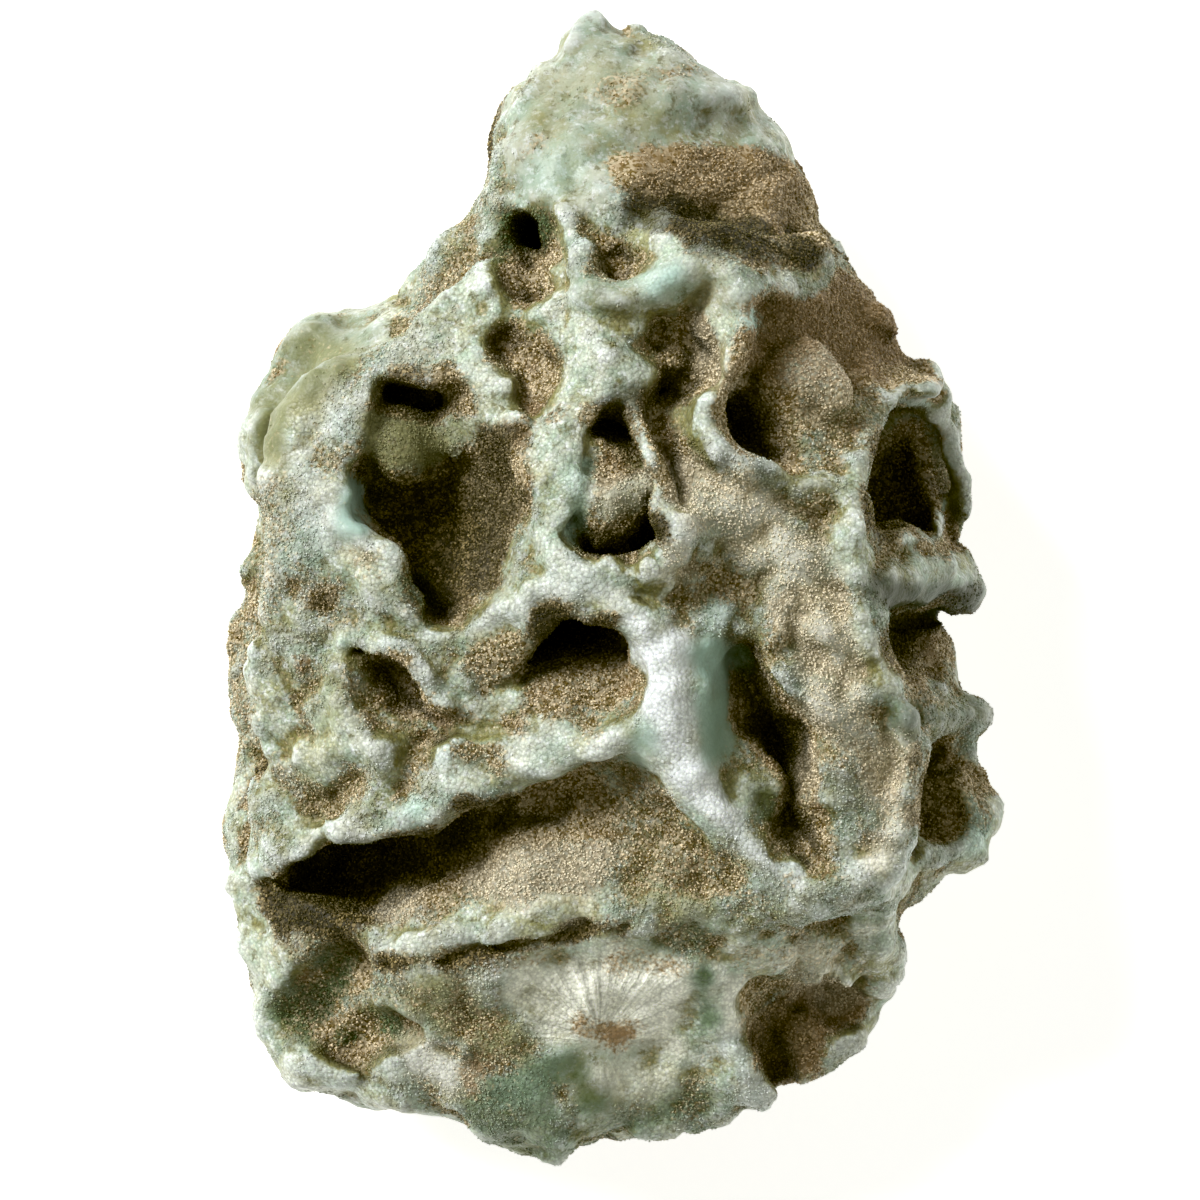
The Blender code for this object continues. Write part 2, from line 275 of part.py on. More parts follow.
# Pits: edge rounding, rim height, inset and lean per mm of depth, floor fillet, rim and floor.
PITS = {
    "channel": (2.4, 33, 0.45, (0.05, 0.0), 3.0,
        ((728, 632), (748, 622), (764, 636), (772, 660), (790, 682), (812, 706), (824, 742), (828, 782),
         (834, 812), (840, 842), (836, 866), (816, 878), (796, 872), (776, 856), (758, 838), (742, 818),
         (730, 796), (722, 770), (720, 740), (716, 705), (714, 670), (718, 645)),
        ((740, 645, 28.5), (752, 676, 25), (768, 706, 23.2), (783, 736, 21.6), (790, 765, 23.2),
         (795, 795, 25), (803, 830, 26.6), (811, 858, 27), (735, 700, 28.5), (735, 740, 29.5),
         (745, 790, 28.5), (765, 830, 28), (808, 720, 26), (814, 780, 26.5))),
    "big_pit": (1.2, 31, 0.1, (-0.1, 0.05), 3.4,
        ((375, 374), (392, 366), (425, 370), (455, 380), (475, 398), (492, 425), (512, 445), (522, 475),
         (529, 515), (527, 550), (517, 582), (497, 602), (478, 610), (462, 624), (430, 627), (416, 615),
         (408, 592), (402, 568), (393, 551), (375, 541), (360, 525), (350, 500), (352, 470), (358, 440),
         (366, 405)),
        ((400, 388, 19), (425, 392, 20), (455, 395, 27), (385, 450, 26), (405, 432, 26.4), (455, 428, 27),
         (400, 500, 22), (430, 470, 23.5), (460, 470, 25), (410, 560, 22), (440, 540, 22.4),
         (430, 605, 23), (480, 520, 26), (500, 480, 29), (512, 530, 29.4), (490, 580, 28),
         (460, 610, 27.4))),
    "middle_pit": (0.8, 34, 0.1, (0.0, 0.05), 1.8,
        ((600, 406), (613, 402), (625, 412), (638, 428), (648, 452), (658, 480), (666, 505), (669, 525),
         (662, 547), (647, 561), (622, 566), (600, 563), (578, 556), (567, 540), (568, 515), (574, 496),
         (582, 474), (584, 450), (588, 430), (592, 416)),
        ((612, 420, 26.5), (628, 436, 28), (610, 455, 33), (640, 472, 33), (600, 478, 33),
         (630, 492, 33.4), (604, 504, 33.8), (580, 530, 31.6), (612, 540, 31.8), (653, 530, 26.5),
         (659, 512, 29), (634, 555, 28.5), (595, 552, 29.6))),
    "question_bowl": (1.4, 33, 0.2, (0.0, 0.0), 2.0,
        ((638, 332), (655, 316), (684, 316), (704, 335), (716, 362), (710, 388), (692, 404), (668, 410),
         (652, 414), (640, 414), (633, 405), (640, 388), (648, 374), (642, 358), (634, 346)),
        ((665, 336, 30), (690, 350, 30.4), (694, 376, 30.2), (672, 392, 28.8), (654, 396, 27),
         (643, 404, 24.5), (664, 364, 31))),
    "question_tail": (1.6, 35, 0.4, (0.0, 0.0), 2.0,
        ((646, 402), (664, 396), (684, 408), (690, 436), (692, 475), (696, 508), (674, 512), (656, 482),
         (648, 450), (640, 422)),
        ((656, 412, 28), (664, 440, 30.4), (670, 475, 32.2), (680, 505, 33.8))),
    "crater": (1.4, 30.5, 0.4, (0.0, 0.0), 2.0,
        ((592, 238), (612, 228), (630, 240), (638, 260), (630, 286), (608, 292), (592, 274), (588, 252)),
        ((612, 252, 28), (600, 250, 28.2), (615, 275, 29))),
    "trough": (1.8, 27, 0.35, (0.0, 0.0), 2.0,
        ((500, 225), (514, 206), (537, 202), (553, 220), (560, 245), (558, 278), (546, 308), (518, 306),
         (504, 282), (499, 250)),
        ((520, 225, 21.5), (540, 250, 21), (530, 275, 24), (530, 298, 25.8), (508, 245, 23))),
    "green_hole": (0.3, 22, 0.0, (0.0, 0.1), 0.8,
        ((519, 220), (528, 210), (540, 216), (548, 236), (550, 256), (538, 255), (525, 242)),
        ((530, 225, 14), (540, 245, 14))),
    "west_spot": (1.4, 31, 0.3, (0.0, 0.0), 1.5,
        ((487, 338), (500, 322), (522, 318), (542, 326), (556, 350), (566, 376), (558, 398), (540, 410),
         (526, 402), (518, 382), (502, 374), (490, 360)),
        ((500, 345, 26.6), (520, 340, 27.8), (540, 360, 29), (542, 395, 30), (535, 378, 28.8))),
    "right_basin": (1.4, 31.5, 0.12, (-0.05, -0.05), 3.0,
        ((753, 312), (765, 301), (800, 303), (835, 298), (880, 290), (950, 320), (985, 365), (930, 386),
         (884, 400), (866, 436), (840, 462), (800, 469), (770, 461), (745, 454), (726, 441), (717, 423),
         (722, 403), (737, 386), (748, 360), (753, 335)),
        ((735, 424, 26), (760, 442, 28.5), (754, 395, 30), (770, 345, 29.6), (785, 318, 28.4),
         (800, 375, 31), (815, 400, 31.2), (780, 420, 30), (825, 445, 31.4), (850, 420, 30),
         (868, 375, 25), (830, 335, 26.8), (860, 330, 22.5), (895, 365, 18.5), (930, 370, 13.5))),
    "east_cave": (0.7, 24, 0.05, (-0.15, 0.0), 2.0,
        ((897, 404), (880, 424), (869, 452), (860, 490), (861, 528), (878, 540), (905, 532), (942, 540),
         (947, 500), (949, 450), (944, 415), (928, 401)),
        ((875, 490, 11.5), (905, 445, 12.5), (930, 440, 13), (938, 500, 12.4), (895, 520, 12),
         (922, 412, 15.5))),
    "east_gap": (0.6, 24, 0.05, (-0.15, 0.05), 2.0,
        ((872, 618), (900, 606), (940, 608), (975, 620), (975, 680), (948, 692), (925, 684), (900, 676),
         (884, 658)),
        ((885, 640, 16.5), (905, 622, 14), (925, 650, 15.5), (950, 640, 13), (945, 680, 14))),
    "south_east_cave": (0.6, 22, 0.05, (-0.2, 0.0), 2.0,
        ((935, 748), (965, 738), (980, 762), (990, 790), (996, 815), (984, 838), (952, 847), (926, 835),
         (912, 805), (916, 774)),
        ((925, 795, 15.4), (950, 780, 15.4), (975, 800, 13.8), (965, 770, 14.2), (950, 832, 16.2))),
    "west_cave": (2.0, 30, 0.45, (0.05, 0.1), 2.6,
        ((344, 648), (360, 640), (385, 638), (408, 648), (426, 664), (440, 688), (454, 709), (466, 722),
         (448, 748), (424, 744), (402, 738), (378, 730), (356, 710), (342, 680)),
        ((362, 660, 24), (378, 656, 23.4), (400, 672, 23.4), (420, 700, 24.4), (445, 726, 25.6),
         (376, 700, 26), (358, 684, 25.4))),
    "west_slot": (0.3, 28, 0.1, (0.0, 0.1), 0.8,
        ((316, 642), (345, 635), (370, 639), (372, 652), (345, 652), (320, 650)),
        ((325, 646, 22), (350, 644, 22), (368, 646, 21))),
    "centre_cave": (0.6, 34, 0.0, (-0.05, 0.15), 2.4,
        ((582, 605), (605, 615), (627, 628), (639, 655), (642, 690), (640, 714), (615, 724), (590, 722),
         (560, 714), (530, 706), (505, 712), (484, 708), (490, 686), (510, 668), (522, 645), (540, 623),
         (562, 610)),
        ((552, 636, 23), (582, 630, 22), (610, 650, 28.2), (628, 685, 30.5), (595, 680, 29.8),
         (560, 680, 29.4), (530, 690, 29.6), (500, 700, 29.8), (600, 712, 31), (560, 655, 26.8))),
    "long_hollow": (1.0, 29, 0.0, (0.05, 0.12), 3.0,
        ((275, 882), (300, 866), (347, 849), (411, 832), (437, 818), (480, 808), (526, 781), (577, 762),
         (618, 748), (650, 758), (672, 790), (700, 822), (732, 862), (765, 890), (700, 900), (610, 900),
         (560, 905), (505, 920), (455, 934), (400, 942), (365, 942), (340, 938), (300, 932), (268, 915)),
        ((300, 895, 12.5), (345, 880, 13), (400, 855, 16), (460, 840, 21.5), (520, 812, 24.5),
         (580, 785, 26.6), (622, 765, 28.6), (370, 912, 15.5), (400, 900, 18), (480, 880, 23.6),
         (560, 850, 25.8), (640, 810, 28.4), (600, 888, 27.5), (680, 865, 28.8), (500, 902, 25.4),
         (405, 928, 21.5), (720, 885, 29), (670, 800, 29.4), (290, 915, 13.5), (345, 925, 14.5))),
}
# Dents, grooves and holes: blend, stretch upwards, and balls.
HOLLOWS = {
    "lip_crack": (0.9, 0.8,
        ((388, 967, 24.4, 0.4), (440, 959, 25.5, 0.6), (505, 946, 26.3, 0.9), (560, 934, 27.1, 1.0),
         (605, 927, 27.6, 0.7), (625, 925, 28.0, 0.3))),
    "basin_slot": (0.3, 1.0, ((760, 303, 24.5, 1.0), (800, 304, 22, 1.1), (828, 304, 19, 1.0))),
    "pit_recess_edge": (0.9, 1.0, ((436, 392, 25, 1.2), (415, 410, 23, 1.3), (380, 412, 22, 1.3))),
    "east_back": (0.5, 1.0, ((876, 450, 19, 2.0), (870, 490, 18, 2.4), (872, 520, 17, 2.0))),
    "gap_back": (0.4, 1.0, ((905, 618, 15, 1.8), (925, 618, 13, 1.8))),
    "edge_groove": (1.2, 1.1,
        ((280, 425, 19.5, 0.9), (270, 470, 18.5, 0.9), (277, 510, 17.5, 0.9), (272, 555, 17, 0.9),
         (262, 610, 15.5, 0.9), (250, 650, 14.5, 0.8))),
    "corner_groove": (0.9, 1.0, ((310, 392, 20.5, 0.8), (345, 372, 21.5, 0.8), (378, 360, 22.5, 0.7))),
    "south_west_green": (1.8, 0.9,
        ((352, 958, 24.6, 2.2), (335, 985, 21.8, 3.6), (312, 1008, 19.2, 3.4), (292, 1012, 18, 2.0))),
    "south_green": (1.6, 0.9, ((350, 1040, 18.2, 2.4), (372, 1034, 20.2, 2.6), (393, 1028, 21.4, 2.2))),
    "south_east_dent": (1.8, 0.9,
        ((762, 1002, 21.6, 2.2), (785, 1020, 20.4, 3.4), (782, 1048, 18, 3.2), (765, 1072, 16.4, 2.2),
         (818, 1012, 18.6, 3.2), (838, 1000, 17, 2.2))),
}
# Where the crust is calm: how much less rough, half width, and a line of plan points.
CALM = {
    "fan": (0.95, 7.5, ((560, 995), (660, 995), (605, 1040))),
    "fan_south": (0.5, 5.0, ((540, 1080), (680, 1070))),
    "band": (0.7, 5.5, ((655, 178), (700, 186), (775, 212))),
    "basin": (0.55, 6.0, ((785, 350), (800, 410), (860, 330))),
    "big_pit": (0.5, 7.0, ((430, 450), (450, 560))),
    "slope": (0.5, 6.0, ((330, 900), (400, 900), (500, 870), (620, 840))),
    "spine": (0.6, 4.0, ((655, 650), (672, 730))),
    "question": (0.7, 4.0, ((675, 350), (665, 400), (668, 470))),
    "west_spot": (0.6, 3.5, ((500, 345), (540, 370))),
    "trough": (0.6, 3.5, ((525, 240), (530, 290))),
    "cave_floor": (0.5, 4.0, ((590, 685), (530, 700))),
    "east_cave": (0.7, 6.0, ((905, 450), (900, 510))),
    "east_gap": (0.7, 4.5, ((915, 650),)),
    "south_east_cave": (0.6, 5.0, ((945, 785),)),
    "fins": (0.6, 3.5, ((890, 575), (970, 590))),
    "green_hollow": (0.6, 4.0, ((340, 970), (305, 1010))),
}
# Lumps in the pits and the thin lips on their rims, stated as the swellings are.
LUMPS = {
    "pit_lump_east": (1.0, 0.9, ((426, 444, 25.6, 2.2),)),
    "south_east_knob": (1.2, 0.9, ((806, 1030, 14.6, 2.6), (818, 1042, 13.4, 2.2))),
    "slope_lump_west": (3.0, 0.8, ((470, 905, 23, 2.8), (430, 915, 22, 2.2))),
    "slope_lump": (3.0, 0.8, ((545, 880, 25.2, 3.0), (590, 868, 25.8, 2.6))),
    "middle_lump_north": (1.0, 0.9, ((606, 458, 31.6, 2.2),)),
    "middle_lump_east": (1.0, 0.9, ((632, 486, 32.4, 2.3),)),
    "basin_lump": (1.2, 0.8, ((806, 372, 29.4, 2.6), (826, 388, 29.4, 2.2))),
    "pit_lump": (1.0, 0.9, ((382, 438, 26.2, 2.5), (404, 446, 26.6, 2.8))),
    "pit_lump_small": (0.8, 0.9, ((460, 434, 26.8, 1.9),)),
    "middle_lump": (1.2, 0.9, ((604, 502, 32.6, 2.6), (614, 512, 32.2, 2.4))),
    "channel_lump": (1.4, 0.9, ((740, 758, 28.4, 2.4), (754, 786, 28.0, 3.0), (762, 806, 27.6, 2.4))),
    "white_spot": (0.3, 1.0, ((765, 215, 18.6, 1.1),)),
    "middle_lip": (0.5, 1.0,
        ((676, 520, 36, 0.7), (668, 490, 35.6, 0.7), (655, 455, 35, 0.7), (642, 425, 34.2, 0.7),
         (634, 402, 33.6, 0.8))),
    "sill_lip": (0.5, 1.0,
        ((342, 631, 28, 0.8), (383, 637, 30, 0.8), (410, 648, 30.4, 0.8), (428, 666, 30.4, 0.8),
         (441, 692, 29.4, 0.8))),
    "pit_lip": (0.6, 1.0,
        ((360, 530, 30.4, 0.9), (388, 548, 30.8, 0.9), (400, 572, 30.6, 0.9), (406, 603, 30.2, 0.9),
         (416, 626, 30.2, 0.9))),
}


def at(east, south, z):
    """The point at height z, in mm, that the plan view shows at this plan position."""
    near = (EYE_HEIGHT - z) / (EYE_HEIGHT - OUTLINE_Z) * PLAN_UNIT
    eye_x = (EYE[0] - CENTRE[0]) * PLAN_UNIT
    eye_y = (CENTRE[1] - EYE[1]) * PLAN_UNIT
    return eye_x + (east - EYE[0]) * near, eye_y + (EYE[1] - south) * near, z


def plan_loop(points, z, steps):
    """A closed smooth curve through plan points at one height, in mm."""
    here = np.asarray(points, float)
    before, after, beyond = (np.roll(here, shift, axis=0) for shift in (1, -1, -2))
    t = np.linspace(0, 1, steps, endpoint=False)[:, None, None]
    curve = 2 * here + (after - before) * t
    curve = curve + (2 * before - 5 * here + 4 * after - beyond) * t**2
    curve = curve + (3 * here - before - 3 * after + beyond) * t**3
    curve = (curve / 2).transpose(1, 0, 2).reshape(-1, 2)
    return np.array([at(east, south, z)[:2] for east, south in curve])


def loop_distance(loop, x, y):
    """Distance in the plane from a closed loop, negative inside it."""
    far = np.full(x.shape, 1e9)
    inside = np.zeros(x.shape, bool)
    for (ax, ay), (bx, by) in zip(loop, np.roll(loop, -1, axis=0)):
        ex, ey = bx - ax, by - ay
        t = np.clip(((x - ax) * ex + (y - ay) * ey) / (ex * ex + ey * ey), 0, 1)
        far = np.minimum(far, (x - ax - t * ex) ** 2 + (y - ay - t * ey) ** 2)
        if ay != by:
            inside ^= ((ay > y) != (by > y)) & (x < ex * (y - ay) / ey + ax)
    far = np.sqrt(far)
    return np.where(inside, -far, far)


def spread(dx, dy):
    """The bending kernel of a thin plate."""
    r2 = dx * dx + dy * dy
    return 0.5 * r2 * np.log(r2 + 1e-9)


def thin_plate(points, x, y, softness):
    """Height of a bent sheet that passes near the given points."""
    p = np.array([at(*point) for point in points])
    n = len(p)
    system = np.zeros((n + 3, n + 3))
    system[:n, :n] = spread(p[:, None, 0] - p[None, :, 0], p[:, None, 1] - p[None, :, 1])
    system[:n, :n] += softness * np.eye(n)
    system[:n, n:] = np.c_[np.ones(n), p[:, :2]]
    system[n:, :n] = system[:n, n:].T
    weights = np.linalg.solve(system, np.r_[p[:, 2], 0, 0, 0])
    z = weights[n] + weights[n + 1] * x + weights[n + 2] * y
    for weight, (px, py, _) in zip(weights, p):
        z = z + weight * spread(x - px, y - py)
    return z


def smooth_min(a, b, width):
    """The lower of two fields, blended where they are closer than width."""
    close = np.maximum(width - np.abs(a - b), 0) / width
    return np.minimum(a, b) - close * close * width / 4


def smooth_max(a, b, width):
    return -smooth_min(-a, -b, width)


def ridge_height(slope, width, line, x, y):
    """Height of a ridge whose crest follows a line and whose flanks fall away from it."""
    p = np.array([at(*point) for point in line])
    best = None
    for a, b in zip(p[:-1], p[1:]):
        ex, ey = b[0] - a[0], b[1] - a[1]
        t = np.clip(((x - a[0]) * ex + (y - a[1]) * ey) / (ex * ex + ey * ey), 0, 1)
        far2 = (x - a[0] - t * ex) ** 2 + (y - a[1] - t * ey) ** 2
        height = a[2] + t * (b[2] - a[2]) - slope * (np.sqrt(far2 + width * width) - width)
        best = height if best is None else smooth_max(best, height, CREST_BLEND)
    return best


def spline_weights(count, spacing, cell, nodes):
    """Weights that turn values on a coarse row of nodes into a smooth curve on a fine one."""
    place = np.arange(count) * spacing / cell
    first = np.floor(place).astype(int)
    t = place - first
    parts = ((1 - t) ** 3, 3 * t**3 - 6 * t**2 + 4, -3 * t**3 + 3 * t**2 + 3 * t + 1, t**3)
    weights = np.zeros((count, nodes), np.float32)
    for step, part in enumerate(parts):
        weights[np.arange(count), first + step] = part / 6
    return weights


class Stone:
    """A block of space sampled on a grid of points, holding how far each is outside the stone, in mm."""

    def __init__(self, spacing):
        self.h = spacing
        self.low = np.array(BLOCK_LOW, float)
        self.count = np.ceil((np.array(BLOCK_HIGH) - self.low) / spacing).astype(int) + 1
        self.axes = [self.low[k] + spacing * np.arange(self.count[k]) for k in range(3)]
        self.warp = [WARP * self.noise(WARP_CELL, WARP_SEED + k) for k in range(3)]
        self.out = None

    def noise(self, cell, seed):
        """Smooth random hills and dips of one size, about -1 to 1."""
        rng = np.random.default_rng(seed)
        nodes = [int(self.count[k] * self.h / cell) + 5 for k in range(3)]
        values = rng.uniform(-NOISE_GAIN, NOISE_GAIN, nodes).astype(np.float32)
        for k in range(3):
            weights = spline_weights(self.count[k], self.h, cell, nodes[k])
            values = np.moveaxis(np.tensordot(weights, values, axes=(1, k)), 0, k)
        return values

    def lumps(self, cell, seed):
        """Rounded lumps near the surface: 1 at their tops, falling to the creases between them."""
        near = np.nonzero(np.abs(self.out) < LUMP_REACH)
        places = [self.axes[k][near[k]] + LUMP_WARP * self.warp[k][near] - self.low[k] for k in range(3)]
        p = np.stack(places, axis=1) / cell
        nodes = np.array([int(self.count[k] * self.h / cell) + 6 for k in range(3)])
        shift = np.random.default_rng(seed).uniform(0.1, 0.9, (*nodes, 3))
        home = np.floor(p).astype(int)
        best = np.full(len(p), 9.0)
        for step in np.ndindex(3, 3, 3):
            c = np.clip(home + step - 1, 0, nodes - 1)
            far2 = ((p - c - shift[c[:, 0], c[:, 1], c[:, 2]]) ** 2).sum(axis=1)
            best = smooth_min(best, far2, CREASE_WIDTH)
        field = np.zeros(self.out.shape, np.float32)
        field[near] = 1 - np.minimum(best, 1)
        return field

    def window(self, low, high):
        """The part of the grid between two corners."""
        first = np.clip(np.floor((np.array(low) - self.low) / self.h).astype(int), 0, self.count)
        last = np.clip(np.ceil((np.array(high) - self.low) / self.h).astype(int) + 1, 0, self.count)
        return tuple(slice(a, b) for a, b in zip(first, last))

    def places(self, where):
        """Coordinates of a part of the grid, slightly warped so that no edge is too regular."""
        x, y, z = (self.axes[k][where[k]] for k in range(3))
        warp = [w[where] for w in self.warp]
        return x[:, None, None] + warp[0], y[None, :, None] + warp[1], z[None, None, :] + warp[2]

    def chain(self, tall, balls):
        """Distance from a string of balls joined by tapered rods, stretched upwards by tall."""
        p = np.array([(*at(east, south, z), r) for east, south, z, r in balls])
        reach = p[:, 3:] * max(1.0, tall) + CHAIN_MARGIN
        where = self.window((p[:, :3] - reach).min(axis=0), (p[:, :3] + reach).max(axis=0))
        x, y, z = self.places(where)
        best = None
        for a, b in zip(p[:-1] if len(p) > 1 else p, p[1:] if len(p) > 1 else p):
            rod = (b - a)[:3] / (1, 1, tall)
            ux, uy, uz = x - a[0], y - a[1], (z - a[2]) / tall
            t = np.clip((ux * rod[0] + uy * rod[1] + uz * rod[2]) / max((rod * rod).sum(), 1e-9), 0, 1)
            far = np.sqrt((ux - t * rod[0]) ** 2 + (uy - t * rod[1]) ** 2 + (uz - t * rod[2]) ** 2)
            far = far - (a[3] + t * (b[3] - a[3]))
            best = far if best is None else np.minimum(best, far)
        return where, best

    def swell(self, soft, tall, balls):
        where, far = self.chain(tall, balls)
        self.out[where] = smooth_min(self.out[where], far, soft)

    def hollow(self, soft, tall, balls):
        where, far = self.chain(tall, balls)
        self.out[where] = smooth_max(self.out[where], -far, soft)

    def pit(self, edge, rim_z, draft, lean, fillet, rim, floor):
        """Cuts a pit with this rim, whose walls draw in and lean with depth, down to its floor."""
        loop = plan_loop(rim, rim_z, 2)
        depth = rim_z - min(point[2] for point in floor) + PIT_MARGIN
        slack = PIT_MARGIN + depth * max(abs(lean[0]), abs(lean[1]))
        low, high = loop.min(axis=0) - slack, loop.max(axis=0) + slack
        where = self.window((*low, rim_z - depth), (*high, BLOCK_HIGH[2]))
        x, y, z = self.places(where)
        down = rim_z - z
        wall = loop_distance(loop, x - lean[0] * down, y - lean[1] * down) + draft * np.maximum(down, 0)
        wall = wall / math.hypot(1, draft)
        ground = thin_plate(floor, x[:, :, :1], y[:, :, :1], PIT_SOFTNESS) - z
        self.out[where] = smooth_max(self.out[where], -smooth_max(wall, ground, fillet), edge)


def line_distance(line, x, y):
    """Distance in the plane from a line of plan points, or from a single one."""
    p = np.array([at(east, south, PLATE_Z)[:2] for east, south in line])
    far2 = np.full(x.shape, 1e9)
    for a, b in zip(p[:-1] if len(p) > 1 else p, p[1:] if len(p) > 1 else p):
        ex, ey = b - a
        t = np.clip(((x - a[0]) * ex + (y - a[1]) * ey) / max(ex * ex + ey * ey, 1e-9), 0, 1)
        far2 = np.minimum(far2, (x - a[0] - t * ex) ** 2 + (y - a[1] - t * ey) ** 2)
    return np.sqrt(far2)


def roughness_share(x, y):
    """How much of the small lumps and folds there is at each place: 1, or less where the crust is calm."""
    share = np.ones(x.shape)
    for less, width, line in CALM.values():
        share = np.minimum(share, 1 - less * np.exp(-((line_distance(line, x, y) / width) ** 4)))
    return share[:, :, None].astype(np.float32)


def patchy(stone, cell, seed, mean, varies):
    """A share that differs from patch to patch around its mean, and is never below a tenth of it."""
    return np.clip(mean + varies * stone.noise(cell, seed), 0.1 * mean, mean + varies)


def terrain(points, crests, relief, x, y):
    """A height map with its ridges, and how much its steepness shortens a step straight down to it."""
    z = thin_plate(points, x, y, TERRAIN_SOFTNESS)
    for rise, width, line in relief.values():
        z = z + rise * np.exp(-((line_distance(line, x, y) / width) ** 2))
    for join, slope, width, line in crests.values():
        z = smooth_max(z, ridge_height(slope, width, line, x, y), join)
    across, along = np.gradient(z, x[1, 0] - x[0, 0])
    steep = 1 / np.sqrt(1 + across**2 + along**2)
    return z[:, :, None].astype(np.float32), steep[:, :, None].astype(np.float32)


def make_stone(spacing):
    """The whole stone: a low mass, a raised plate on it, then pits, hollows and lumps."""
    stone = Stone(spacing)
    x, y = np.meshgrid(stone.axes[0], stone.axes[1], indexing="ij")
    z = stone.axes[2][None, None, :].astype(np.float32)
    rim = loop_distance(plan_loop(OUTLINE, OUTLINE_Z, 3), x, y)[:, :, None].astype(np.float32)
    edge = loop_distance(plan_loop(PLATE, PLATE_Z, 3), x, y)[:, :, None].astype(np.float32)
    low, low_steep = terrain(LOW_GROUND, LOW_CRESTS, LOW_RELIEF, x, y)
    high, high_steep = terrain(HIGH_GROUND, HIGH_CRESTS, HIGH_RELIEF, x, y)
    below = np.maximum(OUTLINE_Z - z, 0) / SIDE_SPAN
    side = rim + SIDE_TUCK * (1 + SIDE_WAVE * stone.noise(SIDE_CELL, SIDE_SEED)) * below**2
    mass = smooth_max(side, (z - low) * low_steep, RIM_ROUND)
    edge = edge + PLATE_UNDERCUT * np.clip(PLATE_Z - z, -2, 14)
    plate = smooth_max(edge, (z - high) * high_steep, PLATE_ROUND)
    stone.out = smooth_min(mass, smooth_max(plate, side, RIM_ROUND / 2), PLATE_JOIN)
    for shape in SWELLS.values():
        stone.swell(*shape)
    for shape in PITS.values():
        stone.pit(*shape)
    for shape in HOLLOWS.values():
        stone.hollow(*shape)
    for shape in LUMPS.values():
        stone.swell(*shape)
    rough = roughness_share(x, y)
    vary = rough * patchy(stone, LUMP_PATCH, LUMP_SEED, LUMP_MEAN, LUMP_VARIES)
    stone.out += vary * (LUMP_FLOOR - LUMP_HEIGHT * stone.lumps(LUMP_CELL, LUMP_SEED))
    for height, cell, seed in FOLDS:
        stone.out += rough * height * (FOLD_MEAN - np.abs(stone.noise(cell, seed)))
    for height, cell, seed in ROUGHNESS:
        stone.out += height * stone.noise(cell, seed)
    under = UNDER_LIFT * np.exp(np.minimum(rim, 0) / UNDER_REACH) - UNDER_SINK
    under = under + UNDER_WAVE * stone.noise(UNDER_CELL, UNDER_SEED)[:, :, :1]
    stone.out = smooth_max(stone.out, (under - z) * UNDER_STEEP, UNDER_ROUND)
    stone.out = np.maximum(stone.out, -z)
    return stone


def joined(inside):
    """Fills the few places where the stone would touch itself only along an edge or at a corner."""
    inside = inside.copy()
    for _ in range(REPAIR_ROUNDS):
        before = inside.sum()
        for move in np.ndindex(3, 3, 3):
            move = np.array(move) - 1
            if np.abs(move).sum() > 1 and tuple(move) > (0, 0, 0):
                join_diagonal(inside, move)
        if inside.sum() == before:
            break
    return inside


def join_diagonal(inside, move):
    """Fills one corner wherever two points a diagonal step apart differ from all that lie between them."""
    here = tuple(slice(max(0, -m), n - max(0, m)) for m, n in zip(move, inside.shape))
    there = tuple(slice(s.start + m, s.stop + m) for m, s in zip(move, here))
    between = []
    for step in np.ndindex(2, 2, 2):
        part = np.array(step) * move
        if 0 < np.abs(part).sum() < np.abs(move).sum() and np.abs(part).sum() == sum(step):
            between.append(tuple(slice(s.start + p, s.stop + p) for p, s in zip(part, here)))
    all_in = np.logical_and.reduce([inside[where] for where in between])
    any_in = np.logical_or.reduce([inside[where] for where in between])
    inside[between[0]] |= inside[here] & inside[there] & ~any_in
    inside[here] |= ~inside[here] & ~inside[there] & all_in


def skin(stone):
    """The surface: a point in each cell that it crosses, and a face round each edge that it cuts."""
    inside = joined(stone.out < 0)
    out = np.where(inside, np.minimum(stone.out, -THINNEST), np.maximum(stone.out, THINNEST))
    cells = np.array(out.shape) - 1
    total = np.zeros((3, cells.prod()))
    hits = np.zeros(cells.prod())
    faces = []
    for axis in range(3):
        after = np.delete(out, 0, axis)
        before = np.delete(out, -1, axis)
        edge = np.argwhere((before < 0) != (after < 0))
        first, last = before[tuple(edge.T)], after[tuple(edge.T)]
        place = edge.astype(float)
        place[:, axis] += first / (first - last)
        ring = []
        for back in ((0, 0), (1, 0), (1, 1), (0, 1)):
            cell = edge.copy()
            cell[:, (axis + 1) % 3] -= back[0]
            cell[:, (axis + 2) % 3] -= back[1]
            ring.append(np.ravel_multi_index(cell.T, cells))
            hits += np.bincount(ring[-1], minlength=hits.size)
            for k in range(3):
                total[k] += np.bincount(ring[-1], weights=place[:, k], minlength=hits.size)
        ring = np.stack(ring, axis=1)
        faces.append(np.where((first < 0)[:, None], ring, ring[:, ::-1]))
    faces = largest_piece(np.concatenate(faces))
    used, faces = np.unique(faces, return_inverse=True)
    points = stone.low + stone.h * (total[:, used] / hits[used]).T
    return points, faces.reshape(-1, 4)


def largest_piece(faces):
    """Only the faces of the piece with the most of them."""
    used, corners = np.unique(faces, return_inverse=True)
    corners = corners.reshape(faces.shape)
    label = np.arange(len(used))
    while True:
        lowest = np.repeat(label[corners].min(axis=1), 4)
        new = label.copy()
        np.minimum.at(new, corners.ravel(), lowest)
        new = new[new]
        if (new == label).all():
            break
        label = new
    piece = label[corners[:, 0]]
    return faces[piece == np.bincount(piece).argmax()]


